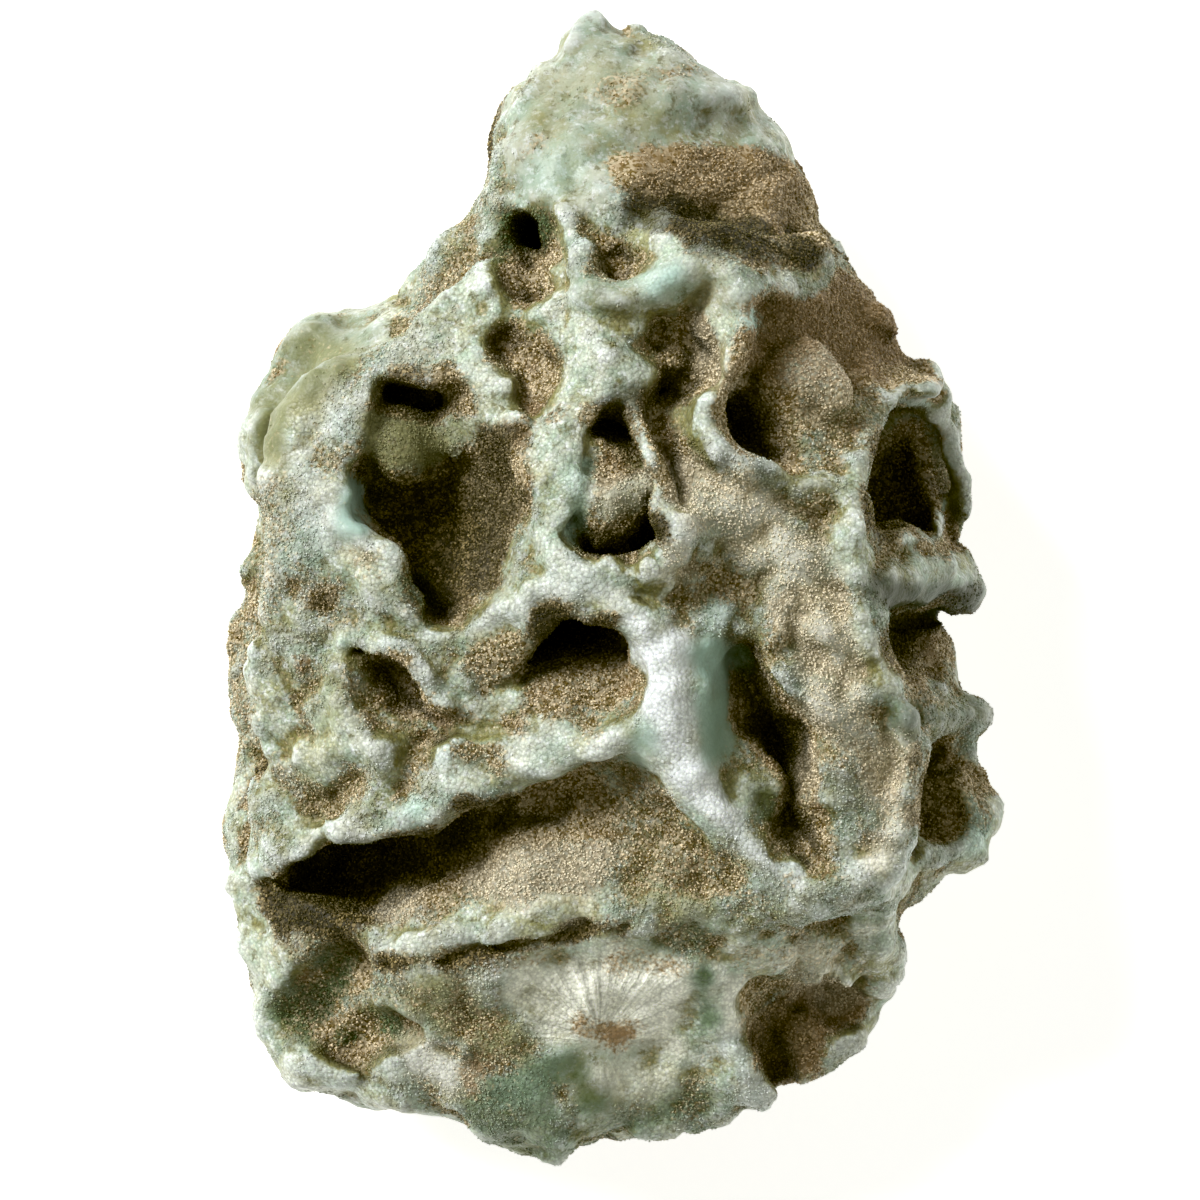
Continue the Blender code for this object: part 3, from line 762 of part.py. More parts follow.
def stone_mesh(name):
    """The surface thinned to few enough faces, its underside flat, centred over the origin, in metres."""
    points, faces = skin(make_stone(SPACING))
    fine = bpy.data.meshes.new(name + "_fine")
    fine.from_pydata(points.tolist(), [], faces.tolist())
    draft = bpy.data.objects.new(name + "_fine", fine)
    bpy.context.scene.collection.objects.link(draft)
    thin = draft.modifiers.new("thin", "DECIMATE")
    thin.ratio = TRIANGLES / (2 * len(faces))
    graph = bpy.context.evaluated_depsgraph_get()
    mesh = bpy.data.meshes.new_from_object(draft.evaluated_get(graph))
    bpy.data.objects.remove(draft)
    bpy.data.meshes.remove(fine)
    mesh.name = name
    place = np.empty(3 * len(mesh.vertices), np.float32)
    mesh.vertices.foreach_get("co", place)
    place = place.reshape(-1, 3)
    place[:, 2][place[:, 2] < FLAT_UNDER] = 0
    middle = (place.min(axis=0) + place.max(axis=0)) / 2
    place -= (middle[0], middle[1], 0)
    mesh.vertices.foreach_set("co", (place * METRES).ravel())
    mesh.shade_smooth()
    return mesh


def crust_material():
    """Waxy pale green crust."""
    material = bpy.data.materials.new("aragonite")
    material.use_nodes = True
    shader = material.node_tree.nodes["Principled BSDF"]
    shader.inputs["Base Color"].default_value = CRUST_COLOUR
    shader.inputs["Roughness"].default_value = CRUST_ROUGHNESS
    shader.inputs["Metallic"].default_value = 0
    return material


def main():
    for old in list(bpy.data.objects):
        bpy.data.objects.remove(old)
    mesh = stone_mesh("aragonite")
    mesh.materials.append(crust_material())
    bpy.context.scene.collection.objects.link(bpy.data.objects.new("aragonite", mesh))


main()
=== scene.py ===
"""The looks of the raw aragonite: its crust in fine detail, with the druse on it, on a pale floor.

The crust is the same field as the CAD solid's, on a finer grid. Masks that are worked out for each point
say where it is brown, teal or white, where painted shade darkens it in creases, recesses and hidden places,
and where it is covered in small crystals, and the materials mix by them.
"""

import math
from functools import reduce

import bpy
import numpy as np
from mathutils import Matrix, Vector


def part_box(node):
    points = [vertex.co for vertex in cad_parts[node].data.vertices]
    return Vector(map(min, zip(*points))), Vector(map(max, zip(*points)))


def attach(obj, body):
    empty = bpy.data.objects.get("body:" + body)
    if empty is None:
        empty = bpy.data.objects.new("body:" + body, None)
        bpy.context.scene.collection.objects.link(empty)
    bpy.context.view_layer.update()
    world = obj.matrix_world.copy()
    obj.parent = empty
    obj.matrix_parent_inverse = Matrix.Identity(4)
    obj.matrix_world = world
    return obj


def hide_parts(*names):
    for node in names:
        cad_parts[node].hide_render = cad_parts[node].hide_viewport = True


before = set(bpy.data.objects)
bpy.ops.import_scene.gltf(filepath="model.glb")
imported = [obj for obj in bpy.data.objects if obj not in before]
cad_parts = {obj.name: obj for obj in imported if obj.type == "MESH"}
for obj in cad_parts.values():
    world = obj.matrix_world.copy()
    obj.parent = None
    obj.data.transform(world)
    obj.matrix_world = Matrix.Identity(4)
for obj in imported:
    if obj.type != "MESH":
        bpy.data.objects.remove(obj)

# Driving dimensions, in millimetres.
LENGTH = 100.0  # the stone from its narrow top to its broad foot
OUTLINE_Z = 11.0  # height of its widest outline above the surface that it lies on
PLATE_Z = 22.0  # height of the edge of the raised plate that makes up most of the front
EYE_HEIGHT = 420.0  # the plan below is drawn as seen from this height

# The plan: positions are (east, south) on a sheet of 1200 units a side, seen from straight above.
PLAN_SHEET = 1200
PLAN_UNIT = LENGTH / 1126.0
CENTRE = (611.0, 585.0)
EYE = (600.0, 600.0)
OUTLINE_STEPS, PIT_STEPS = 3, 2  # parts that a curve has between two of its plan points

# How the surface is worked, in millimetres where a size.
BLOCK_LOW, BLOCK_HIGH = (-38, -53, -1.5), (38, 53, 40)
WARPS = ((0.45, 5.0, 11), (0.28, 1.8, 15))  # shift, size and seed of each layer, the second one fine
NOISE_GAIN = 3.0
CREST_BLEND = 0.6
CHAIN_MARGIN = 3.0
PIT_MARGIN, PIT_SOFTNESS = 3.0, 1.0
TERRAIN_SOFTNESS = 2.0
RIM_ROUND, PLATE_ROUND, PLATE_JOIN = 3.2, 1.5, 1.0
PLATE_UNDERCUT, UNDERCUT_SPAN = 0.22, (-2, 14)  # inset per mm below the plate's edge, and where it stops
SIDE_SPAN, SIDE_TUCK, SIDE_WAVE, SIDE_CELL, SIDE_SEED = 6.0, 1.0, 1.2, 7.0, 51
LUMP_REACH, LUMP_WARP, LUMP_SPREAD, LUMP_LEAST, CREASE_WIDTH = 2.5, 2.4, (0.1, 0.9), 0.1, 0.2
FOLDS, FOLD_MEAN = ((0.5, 4.6, 81), (0.4, 2.4, 82)), 0.45  # height, size and seed of each layer
ROUGHNESS = ((0.30, 3.0, 31), (0.22, 1.4, 32), (0.14, 0.9, 33), (0.16, 1.7, 35))  # stated in the same way
UNDER_LIFT, UNDER_REACH, UNDER_SINK = 6.5, 9.0, 1.4
UNDER_WAVE, UNDER_CELL, UNDER_SEED = 1.0, 14.0, 41
UNDER_STEEP, UNDER_ROUND = 0.8, 3.0
TINY, FAR_OFF = 1e-9, 9.0  # a length that stands for none, and one beyond all lumps, in cells

# The fine surface.
METRES = 0.001  # one millimetre
SPACING = 0.4  # of the grid, in mm
BODY_TRIANGLES = 190000
THINNEST = 0.02  # least distance of a grid point from the surface, in mm

# Lumps all over the crust: their size, seed, height and floor, then the size of the patches that they
# are higher or lower in, their mean share there, and how much it varies.
BIG_LUMPS = (3.2, 21, 0.8, 0.38, 9.0, 0.65, 0.6)
SMALL_LUMPS = (1.6, 22, 0.42, 0.22, 5.5, 0.8, 0.8)

# The druse: small four-faced grains, as a few joined pieces.
GRAINS, GRAIN_SEED, DRUSE_PIECES = 190000, 71, 4
GRAIN_SIZES, GRAIN_STRETCH, GRAIN_LIFT = (0.22, 0.38), (0.75, 1.3), (-0.05, 0.12)
GRAIN_LEAST = 0.75  # share of its size that a grain keeps where there is least druse
GRAIN = np.array(((1, 1, 1), (1, -1, -1), (-1, 1, -1), (-1, -1, 1))) / math.sqrt(3)  # the corners of a grain
GRAIN_FACES = np.array(((0, 1, 2), (0, 3, 1), (0, 2, 3), (1, 3, 2)))
DRUSE_FROM = (0.15, 0.7)  # the mask between where grains begin and where they stand closest

# Edges of the patches on the plan, in plan units, and the noise that breaks up the masks: cell and seed.
EDGE_SOFT, EDGE_RAGGED = 11.0, 11.0
RAGGED, RAGGED_WIDE, RAGGED_SHARE = (1.6, 61), (4.0, 62), 0.6
WIDE, FINE = (5.0, 63), (1.1, 64)

# How the masks follow the shape. A pair of values is where a mask begins and where it is full.
FRONT, FRONT_LIFT = (-0.35, 0.15), 0.02  # the normal's upward part, and what a mm of height adds to it
SIGHT = (2.8, 5.0, 8.0)  # how far in front of a point stone counts as hiding it, in mm
BULGES, BULGE_RAGGED = (0.9, 1.9, 3.6), 0.05  # reaches in mm over which the surface's bulge is measured
DENTS, DENT_LARGE = (-0.02, 0.36), 0.4
RIDGES, RIDGE_SMALL, RIDGE_LARGE, RIDGE_WHITE = (0.2, 0.7), 0.7, 0.4, 0.5
PIT_DEPTHS, PIT_HIDDEN, PIT_RAGGED, PIT_BROWN = (0.9, 2.6), (0.12, 0.4), 0.5, 0.92
LOW_LYING, LOW_WIDE, LOW_FINE, LOW_BROWN = (-0.35, 0.5), 0.3, 0.2, 0.62
SIDES, SIDE_RAGGED = (-1, 2), 1.5  # depths below the widest outline, in mm
SIDE_PATCHES, SIDE_WAVER, SIDE_BROWN = (-0.1, 0.5), 0.5, 0.8
# Depths below the uncut surface, in mm, over which darker brown and painted shade in recesses come in.
UMBER_SHADE_DEPTHS = (3.5, 8.0)
DRUSE_BROWN, DRUSE_LEAST, DRUSE_PATCHES, DRUSE_FINE = (0.2, 0.6), 0.6, (-0.6, 0.6), 0.7
DRUSE_LESS = (0.8, 0.6, 0.75, 0.8, 0.9)  # on teal, pale, white, soft and rayed crust
BROWN_ON_GREEN, CLEAN_CREASE, TEAL_CREASE = 0.6, 0.7, 0.9
# Where painted shade in hidden places begins and is full, then how hidden creases take painted shade.
PAINTED_SHADE_HIDDEN, CREASES, CREASE_HIDDEN, CREASE_RAGGED = (0.5, 0.95), (0.1, 0.5), 0.9, 0.1

# Rays on the fracture face: the plan position that they run out from, how many there are in a radian,
# their detail, how they waver in mm, and the mask above which the face's height is taken.
FAN, RAYS, RAY_DETAIL, RAY_WAVE, RAY_SHIFT, FAN_CERTAIN = (603, 1040), 8, 3.0, 2.5, 0.25, 0.9

# Colours of the crust.
MINT = (0.36, 0.46, 0.35, 1)
CREAM = (0.54, 0.57, 0.45, 1)
PALE_OLIVE = (0.33, 0.33, 0.15, 1)
WHITE_CRUST = (0.83, 0.88, 0.87, 1)
TEAL_CRUST = (0.50, 0.74, 0.64, 1)
FAN_PALE = (0.86, 0.87, 0.74, 1)
CREAM_LIGHT = (0.84, 0.76, 0.56, 1)
GREEN_CRUST = (0.09, 0.15, 0.055, 1)
BROWN_LIGHT = (0.80, 0.67, 0.44, 1)
BROWN_DARK = (0.23, 0.15, 0.025, 1)
BROWN_RED = (0.32, 0.20, 0.09, 1)
# Umber: a darker brown that also stands as painted shade in recesses and under overhangs.
UMBER_AND_SHADE_LIGHT = (0.33, 0.25, 0.10, 1)
UMBER_AND_SHADE_DARK = (0.045, 0.033, 0.005, 1)
# Olive in creases and dents: partly the crust's olive, partly painted shade.
CREASE_OLIVE_AND_SHADE = (0.18, 0.165, 0.035, 1)
MOSS_GREEN = (0.12, 0.11, 0.02, 1)
# Painted shade: the near black olive, and the dark green on teal, that hidden places and dark patches are
# darkened towards.
OLIVE_PAINTED_SHADE = (0.025, 0.02, 0.003, 1)
GREEN_PAINTED_SHADE = (0.03, 0.055, 0.025, 1)

# Noise in the crust's colours: size in mm, detail and roughness, then where each begins and is full.
MOTTLE, MOTTLE_CREAM, MOTTLE_TEAL = (3.0, 5.0, 0.65), (0.36, 0.64), (0.3, 0.7)
CLOUD, CLOUD_OLIVE = (4.5, 5.0, 0.7), (0.45, 0.68)
FROST, FROST_WHITE, FROST_SHARE = (0.7, 3.0, 0.7), (0.5, 0.68), 0.6
MOSS, MOSS_OLIVE, MOSS_SHARE = (1.1, 4.0, 0.75), (0.48, 0.33), 0.75
RUST, RUST_RED, RUST_SHARE = (3.2, 2.0, 0.5), (0.5, 0.75), 0.6
SPECK, SPECK_BROWN = (0.38, 2.0, 0.6), 1.6
CREASE_EDGE, BROWN_EDGE = (0.1, 0.95), (0.15, 0.85)
BROWN_TONES, UMBER_TONES = (0.15, 0.85), (0.4, 0.95)
TEAL_LEAST = 0.75
# How strongly the creases' olive and painted shade and the deep places' painted shade cover the colour, how
# pale the fracture face is, and how much its rays shade it.
CREASE_OLIVE_SHADE_SHARE, PAINTED_SHADE_SHARE, FAN_SHARE, RAY_SHADE = 0.85, 0.78, 0.92, 1.3
CREAM_GRAINS, CREAM_GROUND = 0.9, 0.45

# The crust's own fine crystals, and how they and the druse take the light.
SUGAR_SIZE, SUGAR_SHIFT = 0.3, 0.12  # how wide they are, and how far out of line, in mm
# Where each fine crystal's edge begins and ends, the random shades of the crystals, and the painted shade in
# the gaps between them.
SUGAR_EDGE, SUGAR_SHADES, SUGAR_GAP_SHADE = (0.3, 0.8), (0.9, 1.3), 0.8
GROUND_PAINTED_SHADE, SOFT_SHADE = 0.52, 0.76  # painted shade on the crust between its grains, and how dark it is where it has none
GRAIN_SHADES = (0.7, 1.25)
GRIT, GRIT_SHARE, RAY_HEIGHT = (0.8, 3.0, 0.6), 0.6, 3.0
BUMP_HEIGHT, BUMP_STRENGTHS = 0.1, (0.15, 0.8)  # in mm, and on soft and on sugary crust
CRUST_ROUGHNESS, GRAIN_ROUGHNESS = (0.4, 0.7), 0.6
GLOWS, GRAIN_GLOW = (0.25, 0.04), 0.1
SUBSURFACE_RADIUS, SUBSURFACE_DEPTH = (1.0, 1.1, 0.8), 0.9  # shares of the depth, and the depth in mm
CRUST_IOR, CRUST_SHINE = 1.55, 0.28

# Floor, light and camera.
FLOOR_SIZE, FLOOR_CLOUD, FLOOR_ROUGHNESS = 1.6, 40.0, 0.9
FLOOR_PALE, FLOOR_WHITE, FLOOR_GLOW = (0.86, 0.86, 0.85, 1), (0.90, 0.90, 0.89, 1), 0.75
WINDOW_FROM, WINDOW_STRENGTH, WINDOW_SOFT, WINDOW_COLOUR = (-0.72, 0.58, 0.64), 3.9, 26, (1.0, 1.0, 1.0)
FILL_FROM, FILL_STRENGTH, FILL_SOFT, FILL_COLOUR = (0.85, -0.1, 0.45), 0.4, 60, (1.0, 1.0, 0.97)
ROOM_COLOUR, ROOM_STRENGTH = (1.0, 0.98, 0.82, 1), 0.26
BLACK, WHITE_POINT = (0.0005, 0.0005, 0.007), (0.96, 0.96, 0.95)  # darkest and lightest tones told apart
SENSOR, CLIP = 36.0, (0.01, 10.0)

# The stone's widest outline.
OUTLINE = (
    (594, 22), (606, 25), (614, 34), (634, 34), (658, 46), (684, 63), (698, 75), (722, 91), (738, 91),
    (750, 97), (764, 117), (786, 136), (792, 152), (796, 170), (808, 196), (814, 222), (822, 240),
    (823, 253), (832, 254), (834, 272), (852, 292), (880, 320), (894, 346), (905, 366), (918, 378),
    (934, 384), (941, 400), (952, 416), (957, 450), (957, 490), (951, 540), (965, 548), (986, 583),
    (983, 598), (972, 613), (950, 611), (938, 612), (940, 626), (950, 640), (952, 665), (960, 692),
    (978, 697), (988, 706), (986, 724), (972, 738), (973, 752), (986, 780), (998, 802), (1000, 822),
    (990, 840), (972, 850), (955, 861), (934, 868), (914, 888), (891, 906), (886, 930), (893, 960),
    (891, 985), (870, 1004), (862, 1024), (851, 1049), (834, 1045), (822, 1062), (800, 1076), (772, 1083),
    (750, 1096), (735, 1098), (722, 1113), (690, 1124), (654, 1133), (610, 1128), (585, 1137),
    (560, 1147), (535, 1145), (505, 1132), (470, 1116), (430, 1098), (392, 1094), (342, 1086),
    (325, 1078), (305, 1078), (288, 1062), (268, 1034), (258, 998), (252, 950), (243, 912), (232, 866),
    (227, 835), (234, 805), (238, 770), (241, 735), (238, 705), (230, 680), (222, 650), (224, 622),
    (240, 585), (254, 545), (262, 522), (256, 498), (246, 478), (244, 450), (248, 425), (258, 398),
    (272, 374), (284, 345), (300, 326), (330, 314), (366, 309), (395, 300), (424, 268), (450, 245),
    (470, 228), (484, 200), (494, 165), (504, 125), (518, 100), (545, 74), (562, 56), (576, 32),
)
# The edge of the raised plate. Beyond the outline it does nothing.
PLATE = (
    (377, 356), (345, 366), (317, 387), (296, 405), (284, 430), (277, 470), (287, 510), (285, 545),
    (277, 580), (271, 610), (273, 632), (258, 650), (246, 680), (250, 715), (256, 742), (258, 758),
    (240, 790), (230, 835), (240, 880), (300, 925), (376, 946), (470, 934), (560, 916), (630, 908),
    (760, 912), (860, 890), (890, 862), (906, 825), (912, 775), (905, 725), (888, 680), (873, 640),
    (866, 590), (863, 550), (859, 510), (862, 470), (878, 428), (905, 402), (965, 390), (940, 335),
    (880, 280), (845, 245), (800, 243), (760, 245), (730, 240), (690, 238), (650, 225), (620, 195),
    (585, 200), (552, 230), (510, 262), (440, 310), (410, 345),
)
# Heights (east, south, z) of the low mass around and under the plate.
LOW_GROUND = (
    (594, 30, 13), (560, 70, 14), (640, 50, 15), (700, 85, 15), (760, 125, 14), (795, 175, 13),
    (815, 235, 13), (600, 80, 18), (650, 90, 19), (700, 120, 19.5), (520, 110, 14), (505, 150, 14),
    (560, 140, 21), (540, 180, 21), (490, 200, 14), (610, 150, 24.5), (650, 160, 23.5), (700, 165, 21.5),
    (740, 170, 19), (650, 205, 23.5), (700, 205, 20.5), (760, 205, 17.5), (800, 215, 14),
    (690, 238, 19.5), (650, 235, 22.5), (740, 235, 18.5), (790, 250, 15.5), (740, 140, 18),
    (600, 190, 27), (790, 290, 18), (850, 340, 17), (820, 380, 18), (510, 210, 20), (460, 240, 14),
    (420, 275, 14), (470, 270, 20), (400, 300, 14), (330, 320, 12), (300, 335, 12), (340, 350, 17),
    (380, 330, 18), (280, 375, 13), (290, 400, 16), (255, 420, 12), (265, 450, 15), (250, 480, 12),
    (265, 520, 12), (262, 560, 12), (240, 600, 10), (225, 640, 9), (235, 680, 9), (245, 700, 11),
    (240, 760, 10), (832, 270, 15), (870, 310, 15), (900, 350, 15), (930, 400, 15.5), (950, 450, 13),
    (950, 520, 13), (980, 585, 12), (945, 620, 12), (955, 670, 12), (985, 712, 13), (975, 760, 12),
    (998, 815, 12), (960, 855, 14), (910, 895, 14), (600, 500, 24), (450, 500, 24), (750, 600, 24),
    (890, 480, 13), (890, 640, 13), (930, 790, 13), (900, 560, 14), (900, 700, 15), (250, 900, 14),
    (300, 930, 19), (260, 960, 12), (330, 960, 19), (270, 1020, 11), (300, 1060, 10), (340, 1060, 13),
    (400, 1080, 11), (470, 1105, 10), (540, 1135, 9), (600, 1120, 10), (680, 1118, 10), (740, 1090, 10),
    (800, 1065, 9), (850, 1035, 9), (885, 990, 10), (885, 940, 12), (373, 960, 22), (437, 965, 23.5),
    (488, 960, 24.5), (577, 955, 25.5), (650, 955, 25.5), (700, 965, 24.5), (760, 960, 22),
    (830, 940, 18), (400, 1000, 19.5), (480, 1000, 22.5), (560, 1000, 23.5), (620, 1000, 23.5),
    (690, 1000, 22), (740, 1010, 19.5), (800, 1010, 14), (850, 980, 14), (400, 1050, 15.5),
    (500, 1060, 17.5), (600, 1040, 19.5), (690, 1060, 16.5), (540, 1100, 12.5), (620, 1090, 14),
    (740, 1060, 14.5),
)
# Heights of the plate before anything is cut into it.
HIGH_GROUND = (
    (290, 420, 24), (285, 480, 25), (290, 550, 25.5), (280, 610, 24.5), (320, 390, 25), (370, 362, 25.5),
    (340, 450, 28), (340, 520, 29), (340, 580, 28.5), (320, 630, 26), (370, 600, 30), (375, 400, 29),
    (400, 360, 28.5), (460, 370, 30.5), (500, 420, 32), (530, 500, 33.5), (520, 580, 33),
    (420, 630, 30.5), (470, 300, 24), (430, 320, 24), (500, 280, 24.5), (540, 300, 27), (560, 240, 27),
    (600, 200, 27), (560, 400, 33), (560, 330, 30), (600, 330, 32), (620, 380, 33.5), (640, 300, 32),
    (690, 265, 32), (735, 265, 31), (715, 350, 32), (715, 410, 34), (680, 460, 34), (720, 500, 34),
    (780, 500, 33), (830, 500, 31.5), (850, 540, 31.5), (690, 550, 35), (750, 600, 35), (800, 560, 34),
    (820, 620, 34), (860, 650, 31.5), (700, 620, 34.5), (650, 600, 34.5), (582, 578, 34.5),
    (670, 680, 34), (680, 740, 33), (720, 780, 31.5), (830, 720, 33.5), (870, 720, 32), (840, 800, 32),
    (890, 800, 30), (830, 860, 30), (870, 850, 29.5), (260, 690, 20), (270, 740, 20), (245, 800, 17),
    (235, 850, 15), (260, 860, 19), (340, 700, 25), (380, 760, 25), (330, 800, 23), (300, 850, 21.5),
    (420, 740, 26), (455, 690, 28), (460, 780, 27.5), (540, 740, 29.5), (600, 720, 31), (500, 640, 31),
    (420, 700, 27), (480, 800, 28.5), (380, 940, 25), (480, 930, 26.5), (560, 900, 28), (640, 880, 29),
    (700, 870, 30), (760, 880, 30), (320, 880, 22.5), (560, 760, 30.5), (420, 810, 26.5), (260, 900, 18),
    (320, 930, 21), (620, 920, 27.5), (700, 915, 28), (780, 900, 29), (800, 330, 27), (850, 350, 20),
    (820, 420, 30), (850, 440, 30.5), (860, 310, 18), (905, 365, 16), (880, 330, 16), (640, 215, 26.5),
    (700, 240, 25.5), (780, 262, 21), (830, 280, 17.5), (700, 300, 31), (690, 340, 30.5), (680, 420, 33),
    (930, 390, 15),
)
# Ridges on the plate: blend, flank slope, crest half width, and the crest's points.
HIGH_CRESTS = {
    "pit_west": (1.5, 0.55, 1.6,
        ((385, 365, 28.5), (362, 400, 29.5), (350, 440, 30.5), (343, 490, 30.8), (352, 525, 31),
         (385, 560, 31), (398, 590, 31), (405, 618, 30.5))),
    "pit_north": (1.5, 0.6, 1.4,
        ((385, 362, 28.5), (430, 360, 29.5), (480, 385, 31), (520, 435, 32.5), (538, 490, 34),
         (545, 540, 35), (582, 577, 36))),
    "pit_south": (1.0, 1.0, 1.2,
        ((408, 625, 30.5), (440, 634, 31), (475, 626, 32), (500, 612, 33), (530, 597, 34.4),
         (556, 586, 35.4), (582, 577, 36.2))),
    "west_sill": (0.8, 1.0, 1.0,
        ((276, 630, 25), (310, 630, 26.5), (345, 628, 28.5), (385, 634, 30.5), (412, 645, 31),
         (436, 664, 30.8), (450, 690, 29.5))),
    "middle_north": (1.5, 0.6, 1.4,
        ((560, 300, 30), (570, 350, 32), (573, 395, 33.5), (568, 440, 34.5), (560, 500, 35.3),
         (568, 550, 36))),
    "centre_band": (1.5, 0.6, 1.8,
        ((562, 240, 28), (572, 285, 31), (590, 325, 32.6), (612, 365, 34), (628, 398, 34.6))),
    "middle_south": (0.8, 1.2, 0.8,
        ((582, 576, 36.2), (620, 574, 36.3), (650, 569, 36.6), (672, 545, 36.8), (676, 515, 36.6))),
    "spine": (1.0, 1.0, 1.5,
        ((582, 585, 36), (612, 606, 35.8), (645, 628, 36), (662, 655, 36), (666, 690, 35.8),
         (668, 725, 35), (684, 765, 33.8), (712, 800, 32.6), (735, 832, 31.8), (762, 862, 31.4),
         (795, 888, 31))),
    "spine_wide": (1.2, 0.9, 2.8, ((676, 660, 35), (680, 700, 35), (680, 735, 34.2))),
    "south_rim": (0.8, 1.2, 0.8,
        ((795, 892, 31), (837, 882, 30.4), (870, 868, 29.8), (900, 850, 27), (940, 835, 20),
         (975, 825, 15.5))),
    "south_strand": (0.5, 1.5, 0.5,
        ((800, 906, 28.5), (845, 905, 27), (885, 892, 24), (925, 868, 19), (960, 855, 15))),
    "upper_s": (0.8, 1.4, 1.2,
        ((572, 228, 29.6), (575, 262, 31.8), (592, 292, 33.8), (625, 298, 34.2), (655, 286, 34.2),
         (685, 266, 34.4), (712, 256, 34.2), (735, 268, 34.6), (744, 300, 35), (744, 335, 35.4),
         (732, 368, 35.6), (714, 395, 35.8), (707, 425, 36), (722, 452, 35.8), (750, 466, 35.4),
         (785, 476, 34.8), (820, 484, 33.8), (850, 492, 33))),
    "east_ridge": (0.8, 1.2, 1.0,
        ((930, 388, 18), (905, 388, 22), (884, 402, 26), (868, 430, 29.5), (858, 465, 31.5),
         (852, 500, 33), (852, 540, 33.8), (858, 580, 34), (862, 615, 34), (870, 650, 33.4),
         (885, 680, 32.4), (900, 715, 32), (908, 750, 31.4), (904, 790, 31), (898, 830, 30.6),
         (880, 860, 30))),
}
# Ridges on the low mass, stated in the same way.
LOW_CRESTS = {
    "upper_edge": (1.6, 0.9, 1.4,
        ((596, 150, 25.6), (625, 128, 25.4), (660, 108, 23.8), (700, 98, 21.6), (740, 116, 19),
         (780, 146, 15.4))),
    "top_fold": (1.5, 0.4, 1.4, ((596, 112, 21.5), (640, 78, 19.5), (690, 66, 16))),
    "upper_fold": (1.4, 0.8, 1.4,
        ((596, 160, 25), (583, 182, 27.4), (584, 208, 29), (615, 212, 29.2), (640, 218, 28.2),
         (655, 232, 27.3))),
    "basin_step": (0.5, 1.3, 0.9, ((745, 270, 30.5), (770, 282, 27.5), (800, 286, 24), (830, 282, 19.5))),
    "lower_lip": (1.2, 0.9, 1.4,
        ((372, 944, 25), (410, 947, 26), (455, 938, 26.8), (505, 922, 27.6), (560, 906, 28.4),
         (610, 900, 28.8), (680, 901, 29), (740, 898, 29))),
    "south_flank": (1.0, 1.0, 1.2, ((880, 880, 26), (915, 862, 22), (955, 848, 18.5), (990, 820, 15.5))),
    "lobe_rim": (1.5, 0.5, 1.4,
        ((340, 325, 14), (300, 345, 15), (270, 385, 16), (258, 430, 17), (262, 475, 15.5))),
    "green_strand": (0.5, 1.2, 0.5, ((368, 962, 24), (352, 990, 22), (332, 1020, 18.5))),
    "fin_two": (0.8, 2.4, 1.3,
        ((855, 590, 33), (880, 580, 30.5), (905, 574, 27.5), (930, 574, 24.5), (955, 582, 20.5),
         (978, 591, 15.5))),
    "fin_two_top": (1.0, 2.2, 1.0,
        ((862, 548, 30), (890, 545, 27), (915, 545, 24.5), (940, 556, 21), (960, 572, 18.5))),
    "fin_three": (0.8, 2.4, 1.1,
        ((872, 692, 33), (895, 702, 30), (920, 708, 27), (950, 711, 22), (980, 713, 16))),
    "fan_west": (1.2, 0.4, 1.0, ((500, 975, 25.5), (520, 1010, 23.5), (545, 1050, 19.5))),
    "fan_rim": (1.0, 0.6, 1.0, ((700, 960, 26), (730, 990, 23.5), (735, 1030, 21), (715, 1070, 17.5))),
    "far_south_east": (1.0, 0.8, 0.9,
        ((770, 965, 22.5), (830, 985, 18.5), (862, 1010, 13), (845, 1045, 11))),
}
